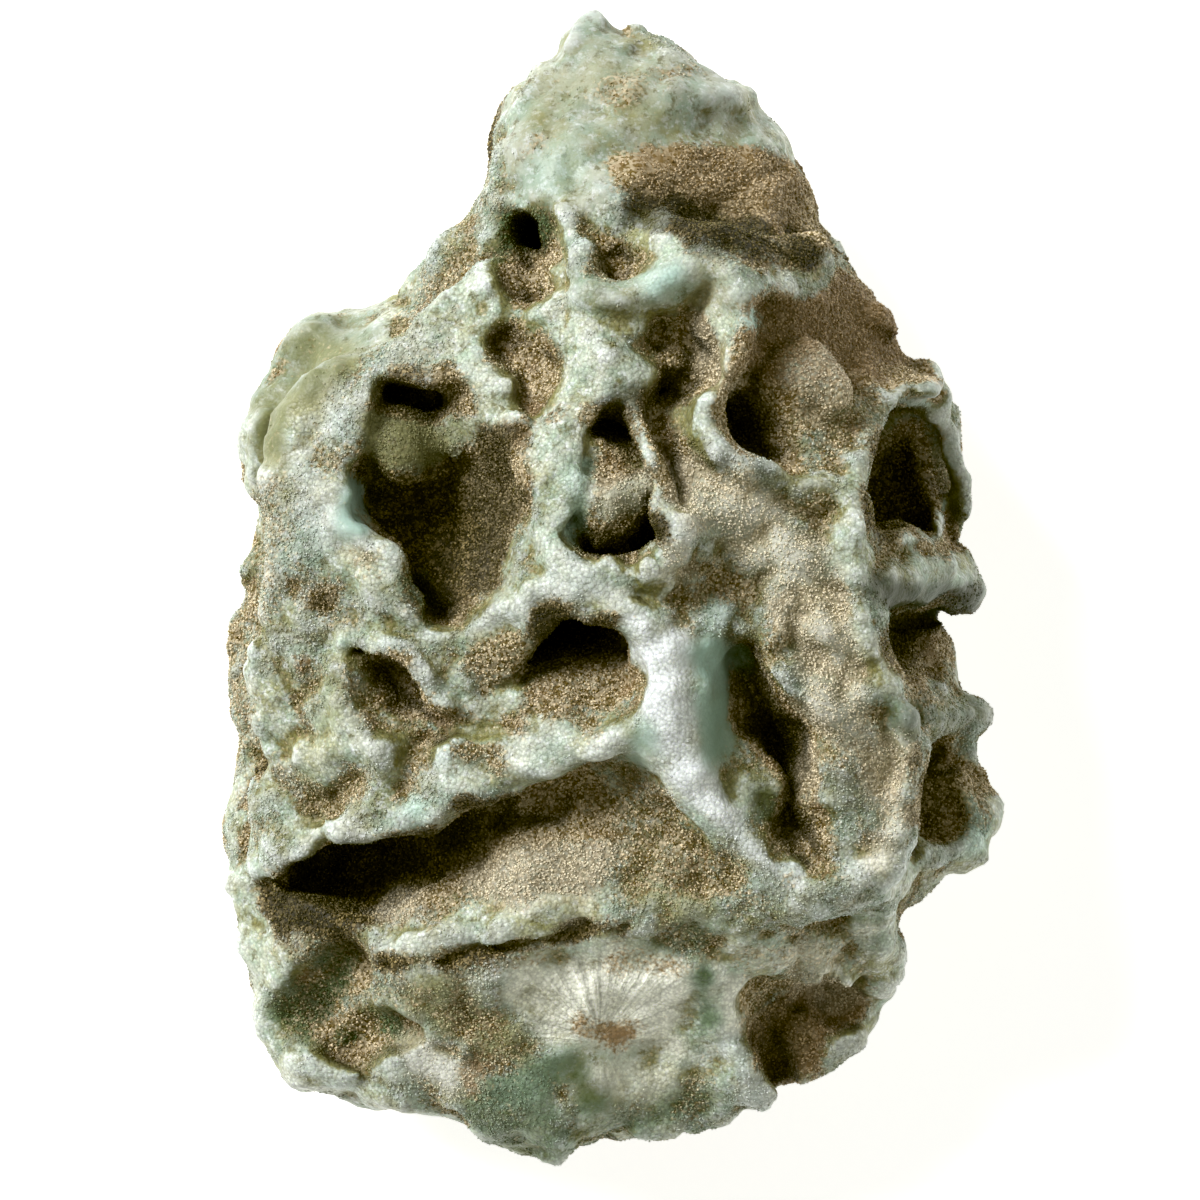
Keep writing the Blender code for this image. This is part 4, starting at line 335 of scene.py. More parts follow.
# Bumps and dents of the plate: rise, half width, and a line of plan points.
HIGH_RELIEF = {
    "shelf_between": (-0.8, 1.3, ((480, 738), (488, 760), (496, 785))),
    "channel_terrace": (-2.2, 2.4, ((722, 640), (716, 680), (716, 720), (722, 748))),
    "west_lump": (2.4, 3.8, ((330, 688), (338, 715))),
    "west_lump_low": (2.8, 3.4, ((388, 752),)),
    "west_lump_foot": (1.2, 3.6, ((325, 772),)),
    "shelf_west": (1.6, 3.0, ((375, 815),)),
    "shelf_one": (3.0, 3.6, ((452, 772),)),
    "shelf_two": (2.2, 2.6, ((505, 752), (548, 736))),
    "shelf_three": (1.2, 2.4, ((590, 735), (622, 726))),
    "small_knob": (1.9, 2.3, ((461, 681),)),
    "far_west_lump": (1.2, 3.6, ((264, 700), (268, 738))),
    "south_west_lump": (1.4, 4.0, ((258, 800), (285, 835))),
    "foot_crease": (-1.8, 1.5,
        ((250, 752), (268, 768), (288, 785), (306, 800), (322, 803), (342, 792), (360, 775))),
    "shelf_crease": (-1.6, 1.6, ((436, 728), (420, 748), (411, 772), (404, 798))),
    "knob_crease": (-1.0, 1.5, ((440, 728), (462, 716), (485, 716), (500, 728))),
    "west_dint": (-1.1, 1.8, ((288, 668), (292, 700), (312, 728))),
    "shelf_dint": (-0.8, 1.0, ((335, 800), (345, 825))),
    "west_dimple": (-3.6, 2.2, ((318, 597), (332, 601))),
    "plate_lump_north": (1.3, 2.4, ((335, 392),)),
    "plate_lump_east": (0.8, 2.2, ((372, 402),)),
    "plate_lump_west": (1.3, 2.6, ((300, 440),)),
    "plate_lump_middle": (1.2, 2.8, ((322, 500),)),
    "plate_lump_south": (0.8, 2.6, ((366, 585),)),
    "plate_dint": (-1.4, 1.8, ((330, 455), (345, 470))),
    "plate_dint_north": (-0.7, 1.6, ((350, 425), (325, 415))),
    "centre_mound": (1.6, 3.0, ((616, 370),)),
    "centre_dint": (-0.8, 2.0, ((590, 335), (600, 318))),
    "plateau_dent": (-2.6, 3.0, ((705, 572), (738, 585), (758, 600))),
    "plateau_dent_east": (-2.0, 2.2, ((808, 490), (825, 512))),
    "plateau_dent_south": (-1.6, 2.0, ((795, 640), (810, 655))),
    "plateau_dent_west": (-1.0, 1.8, ((700, 640), (690, 605))),
    "plateau_lump": (0.9, 2.4, ((770, 655),)),
    "plateau_lump_east": (0.8, 2.6, ((835, 640),)),
    "plateau_lump_north": (0.7, 2.4, ((740, 505),)),
    "saddle": (-1.2, 2.6, ((640, 292), (670, 284))),
}
# Bumps and dents of the low mass.
LOW_RELIEF = {
    "crack_east": (-0.9, 0.8, ((640, 924), (700, 930), (740, 925))),
    "fan_step": (-0.9, 1.6, ((520, 962), (600, 958), (690, 966))),
    "band_ledge_low": (0.8, 1.0, ((668, 232), (705, 246), (745, 256), (790, 262))),
    "band_foot": (-1.9, 1.5, ((628, 206), (672, 218), (712, 232), (752, 242), (805, 252))),
    "band_ledge": (1.4, 1.2, ((640, 190), (690, 198), (735, 210), (795, 228))),
    "band_low": (-2.6, 4.2, ((662, 168), (705, 172), (750, 190), (785, 210))),
    "top_knob": (1.2, 2.0, ((595, 42),)),
    "top_dint": (-0.8, 2.4, ((640, 95), (610, 118))),
    "top_dint_east": (-0.9, 2.0, ((678, 72), (700, 88))),
    "blue_lump": (0.8, 2.6, ((560, 175),)),
    "lobe_lump": (0.8, 3.0, ((268, 400), (262, 450))),
    "lobe_lump_north": (0.8, 2.6, ((330, 345),)),
    "saddle_lump": (0.9, 2.6, ((455, 300),)),
    "saddle_lump_west": (0.8, 2.6, ((400, 330),)),
    "fan_rib_one": (0.6, 1.2, ((590, 1000), (560, 1075), (545, 1120))),
    "fan_rib_two": (0.6, 1.0, ((612, 1045), (600, 1110))),
    "fan_rib_three": (0.6, 1.2, ((640, 1040), (665, 1105))),
    "fan_dint": (-0.9, 1.6, ((575, 1045), (560, 1090))),
    "fan_dint_east": (-0.6, 2.0, ((690, 1000), (705, 1045))),
    "south_lump": (1.0, 2.6, ((430, 1060), (460, 1085))),
    "south_lump_west": (0.8, 2.6, ((300, 1045),)),
}
# Swellings that the pits then cut: blend, stretch upwards, and balls (east, south, z, radius).
SWELLS = {
    "east_rim": (0.8, 1.0,
        ((905, 393, 21, 1.1), (932, 395, 17, 1.2), (950, 425, 15, 0.9), (954, 475, 14, 0.9),
         (948, 530, 13.6, 1.2))),
    "cave_rim": (0.8, 1.0,
        ((966, 740, 14, 0.9), (982, 772, 13, 0.9), (996, 808, 12.5, 0.9), (990, 832, 13, 1.1),
         (964, 850, 15, 1.1))),
    "shelf_edge": (1.0, 1.0,
        ((262, 868, 18.4, 1.5), (300, 855, 21.4, 1.5), (347, 838, 24.2, 1.6), (411, 818, 26.6, 1.5),
         (437, 805, 27.3, 1.4), (480, 792, 28.6, 1.5), (526, 766, 29.8, 1.5), (577, 748, 31, 1.5),
         (618, 735, 32.2, 1.5))),
}
# Pits: edge rounding, rim height, inset and lean per mm of depth, floor fillet, rim and floor.
PITS = {
    "channel": (2.4, 33, 0.45, (0.05, 0.0), 3.0,
        ((728, 632), (748, 622), (764, 636), (772, 660), (790, 682), (812, 706), (824, 742), (828, 782),
         (834, 812), (840, 842), (836, 866), (816, 878), (796, 872), (776, 856), (758, 838), (742, 818),
         (730, 796), (722, 770), (720, 740), (716, 705), (714, 670), (718, 645)),
        ((740, 645, 28.5), (752, 676, 25), (768, 706, 23.2), (783, 736, 21.6), (790, 765, 23.2),
         (795, 795, 25), (803, 830, 26.6), (811, 858, 27), (735, 700, 28.5), (735, 740, 29.5),
         (745, 790, 28.5), (765, 830, 28), (808, 720, 26), (814, 780, 26.5))),
    "big_pit": (1.2, 31, 0.1, (-0.1, 0.05), 3.4,
        ((375, 374), (392, 366), (425, 370), (455, 380), (475, 398), (492, 425), (512, 445), (522, 475),
         (529, 515), (527, 550), (517, 582), (497, 602), (478, 610), (462, 624), (430, 627), (416, 615),
         (408, 592), (402, 568), (393, 551), (375, 541), (360, 525), (350, 500), (352, 470), (358, 440),
         (366, 405)),
        ((400, 388, 19), (425, 392, 20), (455, 395, 27), (385, 450, 26), (405, 432, 26.4), (455, 428, 27),
         (400, 500, 22), (430, 470, 23.5), (460, 470, 25), (410, 560, 22), (440, 540, 22.4),
         (430, 605, 23), (480, 520, 26), (500, 480, 29), (512, 530, 29.4), (490, 580, 28),
         (460, 610, 27.4))),
    "middle_pit": (0.8, 34, 0.1, (0.0, 0.05), 1.8,
        ((600, 406), (613, 402), (625, 412), (638, 428), (648, 452), (658, 480), (666, 505), (669, 525),
         (662, 547), (647, 561), (622, 566), (600, 563), (578, 556), (567, 540), (568, 515), (574, 496),
         (582, 474), (584, 450), (588, 430), (592, 416)),
        ((612, 420, 26.5), (628, 436, 28), (610, 455, 33), (640, 472, 33), (600, 478, 33),
         (630, 492, 33.4), (604, 504, 33.8), (580, 530, 31.6), (612, 540, 31.8), (653, 530, 26.5),
         (659, 512, 29), (634, 555, 28.5), (595, 552, 29.6))),
    "question_bowl": (1.4, 33, 0.2, (0.0, 0.0), 2.0,
        ((638, 332), (655, 316), (684, 316), (704, 335), (716, 362), (710, 388), (692, 404), (668, 410),
         (652, 414), (640, 414), (633, 405), (640, 388), (648, 374), (642, 358), (634, 346)),
        ((665, 336, 30), (690, 350, 30.4), (694, 376, 30.2), (672, 392, 28.8), (654, 396, 27),
         (643, 404, 24.5), (664, 364, 31))),
    "question_tail": (1.6, 35, 0.4, (0.0, 0.0), 2.0,
        ((646, 402), (664, 396), (684, 408), (690, 436), (692, 475), (696, 508), (674, 512), (656, 482),
         (648, 450), (640, 422)),
        ((656, 412, 28), (664, 440, 30.4), (670, 475, 32.2), (680, 505, 33.8))),
    "crater": (1.4, 30.5, 0.4, (0.0, 0.0), 2.0,
        ((592, 238), (612, 228), (630, 240), (638, 260), (630, 286), (608, 292), (592, 274), (588, 252)),
        ((612, 252, 28), (600, 250, 28.2), (615, 275, 29))),
    "trough": (1.8, 27, 0.35, (0.0, 0.0), 2.0,
        ((500, 225), (514, 206), (537, 202), (553, 220), (560, 245), (558, 278), (546, 308), (518, 306),
         (504, 282), (499, 250)),
        ((520, 225, 21.5), (540, 250, 21), (530, 275, 24), (530, 298, 25.8), (508, 245, 23))),
    "green_hole": (0.3, 22, 0.0, (0.0, 0.1), 0.8,
        ((519, 220), (528, 210), (540, 216), (548, 236), (550, 256), (538, 255), (525, 242)),
        ((530, 225, 14), (540, 245, 14))),
    "west_spot": (1.4, 31, 0.3, (0.0, 0.0), 1.5,
        ((487, 338), (500, 322), (522, 318), (542, 326), (556, 350), (566, 376), (558, 398), (540, 410),
         (526, 402), (518, 382), (502, 374), (490, 360)),
        ((500, 345, 26.6), (520, 340, 27.8), (540, 360, 29), (542, 395, 30), (535, 378, 28.8))),
    "right_basin": (1.4, 31.5, 0.12, (-0.05, -0.05), 3.0,
        ((753, 312), (765, 301), (800, 303), (835, 298), (880, 290), (950, 320), (985, 365), (930, 386),
         (884, 400), (866, 436), (840, 462), (800, 469), (770, 461), (745, 454), (726, 441), (717, 423),
         (722, 403), (737, 386), (748, 360), (753, 335)),
        ((735, 424, 26), (760, 442, 28.5), (754, 395, 30), (770, 345, 29.6), (785, 318, 28.4),
         (800, 375, 31), (815, 400, 31.2), (780, 420, 30), (825, 445, 31.4), (850, 420, 30),
         (868, 375, 25), (830, 335, 26.8), (860, 330, 22.5), (895, 365, 18.5), (930, 370, 13.5))),
    "east_cave": (0.7, 24, 0.05, (-0.15, 0.0), 2.0,
        ((897, 404), (880, 424), (869, 452), (860, 490), (861, 528), (878, 540), (905, 532), (942, 540),
         (947, 500), (949, 450), (944, 415), (928, 401)),
        ((875, 490, 11.5), (905, 445, 12.5), (930, 440, 13), (938, 500, 12.4), (895, 520, 12),
         (922, 412, 15.5))),
    "east_gap": (0.6, 24, 0.05, (-0.15, 0.05), 2.0,
        ((872, 618), (900, 606), (940, 608), (975, 620), (975, 680), (948, 692), (925, 684), (900, 676),
         (884, 658)),
        ((885, 640, 16.5), (905, 622, 14), (925, 650, 15.5), (950, 640, 13), (945, 680, 14))),
    "south_east_cave": (0.6, 22, 0.05, (-0.2, 0.0), 2.0,
        ((935, 748), (965, 738), (980, 762), (990, 790), (996, 815), (984, 838), (952, 847), (926, 835),
         (912, 805), (916, 774)),
        ((925, 795, 15.4), (950, 780, 15.4), (975, 800, 13.8), (965, 770, 14.2), (950, 832, 16.2))),
    "west_cave": (2.0, 30, 0.45, (0.05, 0.1), 2.6,
        ((344, 648), (360, 640), (385, 638), (408, 648), (426, 664), (440, 688), (454, 709), (466, 722),
         (448, 748), (424, 744), (402, 738), (378, 730), (356, 710), (342, 680)),
        ((362, 660, 24), (378, 656, 23.4), (400, 672, 23.4), (420, 700, 24.4), (445, 726, 25.6),
         (376, 700, 26), (358, 684, 25.4))),
    "west_slot": (0.3, 28, 0.1, (0.0, 0.1), 0.8,
        ((316, 642), (345, 635), (370, 639), (372, 652), (345, 652), (320, 650)),
        ((325, 646, 22), (350, 644, 22), (368, 646, 21))),
    "centre_cave": (0.6, 34, 0.0, (-0.05, 0.15), 2.4,
        ((582, 605), (605, 615), (627, 628), (639, 655), (642, 690), (640, 714), (615, 724), (590, 722),
         (560, 714), (530, 706), (505, 712), (484, 708), (490, 686), (510, 668), (522, 645), (540, 623),
         (562, 610)),
        ((552, 636, 23), (582, 630, 22), (610, 650, 28.2), (628, 685, 30.5), (595, 680, 29.8),
         (560, 680, 29.4), (530, 690, 29.6), (500, 700, 29.8), (600, 712, 31), (560, 655, 26.8))),
    "long_hollow": (1.0, 29, 0.0, (0.05, 0.12), 3.0,
        ((275, 882), (300, 866), (347, 849), (411, 832), (437, 818), (480, 808), (526, 781), (577, 762),
         (618, 748), (650, 758), (672, 790), (700, 822), (732, 862), (765, 890), (700, 900), (610, 900),
         (560, 905), (505, 920), (455, 934), (400, 942), (365, 942), (340, 938), (300, 932), (268, 915)),
        ((300, 895, 12.5), (345, 880, 13), (400, 855, 16), (460, 840, 21.5), (520, 812, 24.5),
         (580, 785, 26.6), (622, 765, 28.6), (370, 912, 15.5), (400, 900, 18), (480, 880, 23.6),
         (560, 850, 25.8), (640, 810, 28.4), (600, 888, 27.5), (680, 865, 28.8), (500, 902, 25.4),
         (405, 928, 21.5), (720, 885, 29), (670, 800, 29.4), (290, 915, 13.5), (345, 925, 14.5))),
}
# Dents, grooves and holes: blend, stretch upwards, and balls.
HOLLOWS = {
    "lip_crack": (0.9, 0.8,
        ((388, 967, 24.4, 0.4), (440, 959, 25.5, 0.6), (505, 946, 26.3, 0.9), (560, 934, 27.1, 1.0),
         (605, 927, 27.6, 0.7), (625, 925, 28.0, 0.3))),
    "basin_slot": (0.3, 1.0, ((760, 303, 24.5, 1.0), (800, 304, 22, 1.1), (828, 304, 19, 1.0))),
    "pit_recess_edge": (0.9, 1.0, ((436, 392, 25, 1.2), (415, 410, 23, 1.3), (380, 412, 22, 1.3))),
    "east_back": (0.5, 1.0, ((876, 450, 19, 2.0), (870, 490, 18, 2.4), (872, 520, 17, 2.0))),
    "gap_back": (0.4, 1.0, ((905, 618, 15, 1.8), (925, 618, 13, 1.8))),
    "edge_groove": (1.2, 1.1,
        ((280, 425, 19.5, 0.9), (270, 470, 18.5, 0.9), (277, 510, 17.5, 0.9), (272, 555, 17, 0.9),
         (262, 610, 15.5, 0.9), (250, 650, 14.5, 0.8))),
    "corner_groove": (0.9, 1.0, ((310, 392, 20.5, 0.8), (345, 372, 21.5, 0.8), (378, 360, 22.5, 0.7))),
    "south_west_green": (1.8, 0.9,
        ((352, 958, 24.6, 2.2), (335, 985, 21.8, 3.6), (312, 1008, 19.2, 3.4), (292, 1012, 18, 2.0))),
    "south_green": (1.6, 0.9, ((350, 1040, 18.2, 2.4), (372, 1034, 20.2, 2.6), (393, 1028, 21.4, 2.2))),
    "south_east_dent": (1.8, 0.9,
        ((762, 1002, 21.6, 2.2), (785, 1020, 20.4, 3.4), (782, 1048, 18, 3.2), (765, 1072, 16.4, 2.2),
         (818, 1012, 18.6, 3.2), (838, 1000, 17, 2.2))),
}
# Where the crust is calm: how much less rough, half width, and a line of plan points.
CALM = {
    "fan": (0.95, 7.5, ((560, 995), (660, 995), (605, 1040))),
    "fan_south": (0.5, 5.0, ((540, 1080), (680, 1070))),
    "band": (0.7, 5.5, ((655, 178), (700, 186), (775, 212))),
    "basin": (0.55, 6.0, ((785, 350), (800, 410), (860, 330))),
    "big_pit": (0.5, 7.0, ((430, 450), (450, 560))),
    "slope": (0.5, 6.0, ((330, 900), (400, 900), (500, 870), (620, 840))),
    "spine": (0.6, 4.0, ((655, 650), (672, 730))),
    "question": (0.7, 4.0, ((675, 350), (665, 400), (668, 470))),
    "west_spot": (0.6, 3.5, ((500, 345), (540, 370))),
    "trough": (0.6, 3.5, ((525, 240), (530, 290))),
    "cave_floor": (0.5, 4.0, ((590, 685), (530, 700))),
    "east_cave": (0.7, 6.0, ((905, 450), (900, 510))),
    "east_gap": (0.7, 4.5, ((915, 650),)),
    "south_east_cave": (0.6, 5.0, ((945, 785),)),
    "fins": (0.6, 3.5, ((890, 575), (970, 590))),
    "green_hollow": (0.6, 4.0, ((340, 970), (305, 1010))),
}
# Lumps in the pits and the thin lips on their rims, stated as the swellings are.
LUMPS = {
    "pit_lump_east": (1.0, 0.9, ((426, 444, 25.6, 2.2),)),
    "south_east_knob": (1.2, 0.9, ((806, 1030, 14.6, 2.6), (818, 1042, 13.4, 2.2))),
    "slope_lump_west": (3.0, 0.8, ((470, 905, 23, 2.8), (430, 915, 22, 2.2))),
    "slope_lump": (3.0, 0.8, ((545, 880, 25.2, 3.0), (590, 868, 25.8, 2.6))),
    "middle_lump_north": (1.0, 0.9, ((606, 458, 31.6, 2.2),)),
    "middle_lump_east": (1.0, 0.9, ((632, 486, 32.4, 2.3),)),
    "basin_lump": (1.2, 0.8, ((806, 372, 29.4, 2.6), (826, 388, 29.4, 2.2))),
    "pit_lump": (1.0, 0.9, ((382, 438, 26.2, 2.5), (404, 446, 26.6, 2.8))),
    "pit_lump_small": (0.8, 0.9, ((460, 434, 26.8, 1.9),)),
    "middle_lump": (1.2, 0.9, ((604, 502, 32.6, 2.6), (614, 512, 32.2, 2.4))),
    "channel_lump": (1.4, 0.9, ((740, 758, 28.4, 2.4), (754, 786, 28.0, 3.0), (762, 806, 27.6, 2.4))),
    "white_spot": (0.3, 1.0, ((765, 215, 18.6, 1.1),)),
    "middle_lip": (0.5, 1.0,
        ((676, 520, 36, 0.7), (668, 490, 35.6, 0.7), (655, 455, 35, 0.7), (642, 425, 34.2, 0.7),
         (634, 402, 33.6, 0.8))),
    "sill_lip": (0.5, 1.0,
        ((342, 631, 28, 0.8), (383, 637, 30, 0.8), (410, 648, 30.4, 0.8), (428, 666, 30.4, 0.8),
         (441, 692, 29.4, 0.8))),
    "pit_lip": (0.6, 1.0,
        ((360, 530, 30.4, 0.9), (388, 548, 30.8, 0.9), (400, 572, 30.6, 0.9), (406, 603, 30.2, 0.9),
         (416, 626, 30.2, 0.9))),
}
# Brown crust: strength, and discs (east, south, radius) on the plan.
BROWN = {
    "top_patch": (0.5, ((618, 96, 22), (640, 102, 16))),
    "top_patch_east": (0.55, ((680, 80, 20),)),
    "top_speck": (0.6, ((535, 138, 10),)),
    "upper_band": (1.0, ((625, 168, 22), (685, 180, 38), (750, 195, 52), (812, 215, 46))),
    "band_foot": (1.0, ((640, 212, 14), (720, 234, 20), (800, 255, 16))),
    "band_crease": (1.0, ((690, 242, 10), (760, 262, 12), (815, 262, 10))),
    "crater": (0.9, ((612, 258, 22),)),
    "trough": (0.9, ((532, 262, 22), (528, 296, 16))),
    "west_spot": (1.0, ((500, 345, 18), (512, 362, 12))),
    "east_spot": (0.9, ((538, 352, 24), (540, 395, 18))),
    "question": (1.0, ((680, 350, 32), (668, 392, 20))),
    "question_tail": (0.9, ((662, 420, 16), (672, 490, 12))),
    "basin": (1.0, ((785, 330, 48), (760, 400, 44), (800, 400, 40), (860, 325, 60), (900, 350, 40))),
    "east_cave": (1.0, ((905, 460, 38), (900, 510, 34))),
    "fin_two_top": (1.0, ((890, 545, 8), (950, 548, 10))),
    "gap": (1.0, ((915, 650, 36),)),
    "fin_three_top": (0.8, ((905, 694, 6), (950, 699, 6))),
    "south_east_cave": (1.0, ((950, 790, 46),)),
    "plateau_dent": (0.75, ((715, 575, 24), (745, 590, 20))),
    "plateau_east": (0.6, ((815, 505, 20),)),
    "plateau_north": (0.55, ((700, 470, 14), (745, 490, 12))),
    "plateau_middle": (0.6, ((800, 600, 22), (770, 655, 20))),
    "cave_west": (0.7, ((475, 664, 22), (505, 660, 24), (486, 690, 14))),
    "west_creases": (0.7, ((300, 668, 10), (296, 700, 8), (312, 728, 8))),
    "west_top": (0.65, ((345, 668, 10), (358, 694, 10), (372, 722, 10))),
    "knob_below": (0.75, ((428, 735, 12), (455, 716, 12), (492, 722, 12), (520, 722, 8))),
    "shelf_between": (0.7, ((404, 795, 8), (420, 752, 9), (490, 745, 8), (496, 772, 6))),
    "plateau_south": (0.55, ((800, 735, 20), (835, 765, 14))),
    "channel_rim": (0.95, ((790, 700, 10), (815, 780, 10), (822, 850, 12))),
    "edge_layer": (0.45,
        ((270, 480, 14), (270, 530, 16), (262, 590, 16), (248, 650, 14), (240, 740, 12), (236, 790, 8))),
    "plate_north": (0.6, ((365, 440, 10), (332, 462, 18))),
    "plate_south": (0.5, ((370, 557, 20),)),
    "west_dimple": (1.0, ((325, 600, 24),)),
    "lobe": (0.2, ((320, 350, 14), (345, 360, 20))),
    "lobe_west": (0.2, ((272, 430, 14), (268, 455, 12))),
    "pit_wall": (1.0, ((490, 470, 46), (470, 550, 46))),
    "pit_corner": (1.0, ((448, 390, 22), (470, 412, 12))),
    "floor_edge": (0.7, ((592, 722, 14),)),
    "middle_pit": (0.9, ((610, 430, 22), (620, 480, 30), (620, 530, 38))),
    "cave_floor": (0.8, ((590, 680, 36), (530, 700, 18))),
    "west_cave": (1.0, ((395, 680, 34), (440, 716, 20))),
    "west_between": (0.3, ((300, 745, 14), (312, 728, 8))),
    "west_foot": (0.5, ((265, 765, 8), (300, 795, 8), (322, 802, 8))),
    "slope": (0.6, ((320, 900, 34), (420, 880, 44), (540, 850, 50), (640, 830, 48), (720, 880, 14))),
    "fan_core": (1.0, ((582, 1034, 12), (603, 1034, 18), (628, 1034, 12))),
    "fan_arc": (0.55, ((480, 962, 5), (560, 958, 5), (640, 958, 5), (684, 966, 5))),
    "south_east": (1.0, ((780, 1040, 34), (830, 1010, 30))),
    "south_patch": (0.7, ((478, 1075, 18),)),
    "crack": (0.9, ((383, 963, 5), (440, 960, 6), (505, 950, 7), (570, 935, 7), (635, 924, 5))),
    "south_west": (0.4, ((330, 958, 22), (395, 985, 18), (420, 1000, 14))),
    "south_middle": (0.2, ((455, 990, 16), (478, 1030, 16), (440, 1020, 14))),
    "south_east_rim": (0.35, ((740, 960, 16), (790, 950, 18), (850, 950, 16), (870, 980, 14))),
}
# Brown crust that is darker: partly a darker brown, partly painted shade in recesses, pits and under
# overhangs.
UMBER_AND_SHADE = {
    "band_foot": (1.0, ((630, 208, 12), (672, 220, 16), (715, 234, 18), (755, 244, 18), (810, 256, 18))),
    "band_middle": (0.3, ((650, 190, 8), (700, 198, 10), (760, 214, 10), (800, 226, 10))),
    "pit_corner": (0.6, ((448, 392, 20),)),
    "pit_east_wall": (0.75, ((485, 440, 26), (498, 500, 26), (488, 570, 26))),
    "green_hole": (1.0, ((518, 232, 16), (538, 232, 16))),
    "question": (0.5, ((680, 350, 24), (668, 392, 18))),
    "basin": (0.1, ((770, 330, 22), (752, 380, 22), (738, 428, 24))),
    "east_cave": (1.0, ((890, 460, 26), (890, 510, 30))),
    "gap": (0.8, ((900, 640, 28),)),
    "south_east_cave": (0.6, ((935, 780, 28), (930, 820, 14))),
    "big_pit": (0.85, ((400, 392, 30), (420, 490, 50), (445, 530, 50), (440, 590, 36))),
    "middle_pit": (0.9, ((612, 422, 12), (652, 530, 18), (586, 545, 10))),
    "west_cave": (0.2, ((375, 668, 20), (410, 698, 18), (440, 722, 8))),
    "cave_roof": (1.0, ((555, 628, 20), (600, 622, 16))),
    "under_shelf": (1.0,
        ((285, 900, 26), (340, 890, 30), (345, 925, 20), (420, 855, 22), (500, 818, 14))),
    "channel": (0.3, ((745, 660, 14), (775, 720, 24), (785, 770, 20), (800, 830, 18))),
    "south_east": (0.5, ((775, 1030, 30), (770, 1060, 20))),
    "west_dimple": (1.0, ((325, 602, 16),)),
    "fan_core": (0.5, ((603, 1036, 12),)),
    "crack": (1.0, ((383, 963, 4), (440, 960, 5), (505, 950, 6), (570, 935, 6), (635, 924, 4))),
    "south_west": (0.5, ((300, 950, 14), (345, 945, 12), (380, 975, 10))),
    "south_middle": (0.5, ((470, 1010, 12),)),
}
# Dark green crust.
GREEN = {
    "green_hole": (1.0, ((512, 232, 12), (535, 232, 16))),
    "trough": (0.5, ((505, 255, 10),)),
    "south_west": (0.85, ((345, 962, 14), (325, 990, 24), (300, 1015, 22))),
    "south_green": (1.0, ((350, 1040, 14), (392, 1028, 12))),
    "fan": (0.7, ((505, 1092, 14), (540, 1078, 24), (570, 1062, 14), (590, 1100, 18))),
    "south_edge": (0.6, ((470, 1120, 16), (560, 1135, 18), (650, 1120, 18), (720, 1095, 16))),
    "fin_two": (0.5, ((880, 600, 14), (940, 600, 12))),
    "fan_east": (1.0, ((704, 985, 10), (704, 1022, 11))),
    "channel": (0.8, ((742, 650, 10), (744, 690, 10))),
    "pit_floor": (0.7, ((415, 585, 16), (430, 612, 12))),
    "fin_side": (0.8, ((890, 600, 20), (950, 600, 16))),
    "fin_three": (0.4, ((900, 715, 16), (970, 715, 14))),
    "channel_lump": (0.5, ((750, 780, 18), (770, 805, 18))),
    "s_band": (0.35, ((590, 262, 16), (600, 310, 14))),
    "lobe": (0.3, ((340, 340, 30), (275, 380, 26), (262, 440, 22))),
    "channel_wall": (0.4, ((712, 700, 16), (712, 745, 16))),
    "middle_wall": (0.5, ((574, 540, 8), (586, 480, 6))),
    "south_east": (0.5, ((690, 940, 10), (640, 950, 8))),
}
# Teal crust.
TEAL = {
    "top": (0.35, ((560, 165, 22),)),
    "s_north": (0.8, ((655, 284, 10), (672, 272, 8))),
    "s_east": (0.8, ((750, 322, 10),)),
    "pit_wall": (0.9, ((356, 490, 14), (362, 530, 12))),
    "middle_wall": (0.8, ((569, 530, 10), (580, 505, 8), (588, 465, 8))),
    "spine": (0.6, ((645, 735, 18), (632, 752, 12))),
    "channel_wall": (1.0, ((716, 660, 14), (708, 700, 14), (716, 745, 14))),
    "channel_floor": (0.9, ((738, 660, 14),)),
    "west_slot": (0.9, ((345, 643, 8),)),
    "shelf": (0.8, ((417, 808, 10),)),
    "fan_east": (0.9, ((704, 985, 6), (704, 1022, 6))),
    "fan_south": (0.5, ((505, 1090, 12), (540, 1072, 18), (556, 1050, 8))),
    "south_east_cave": (0.6, ((972, 800, 14), (975, 835, 10))),
    "fin_side": (0.5, ((930, 590, 16),)),
    "plateau": (0.4, ((715, 612, 14),)),
}
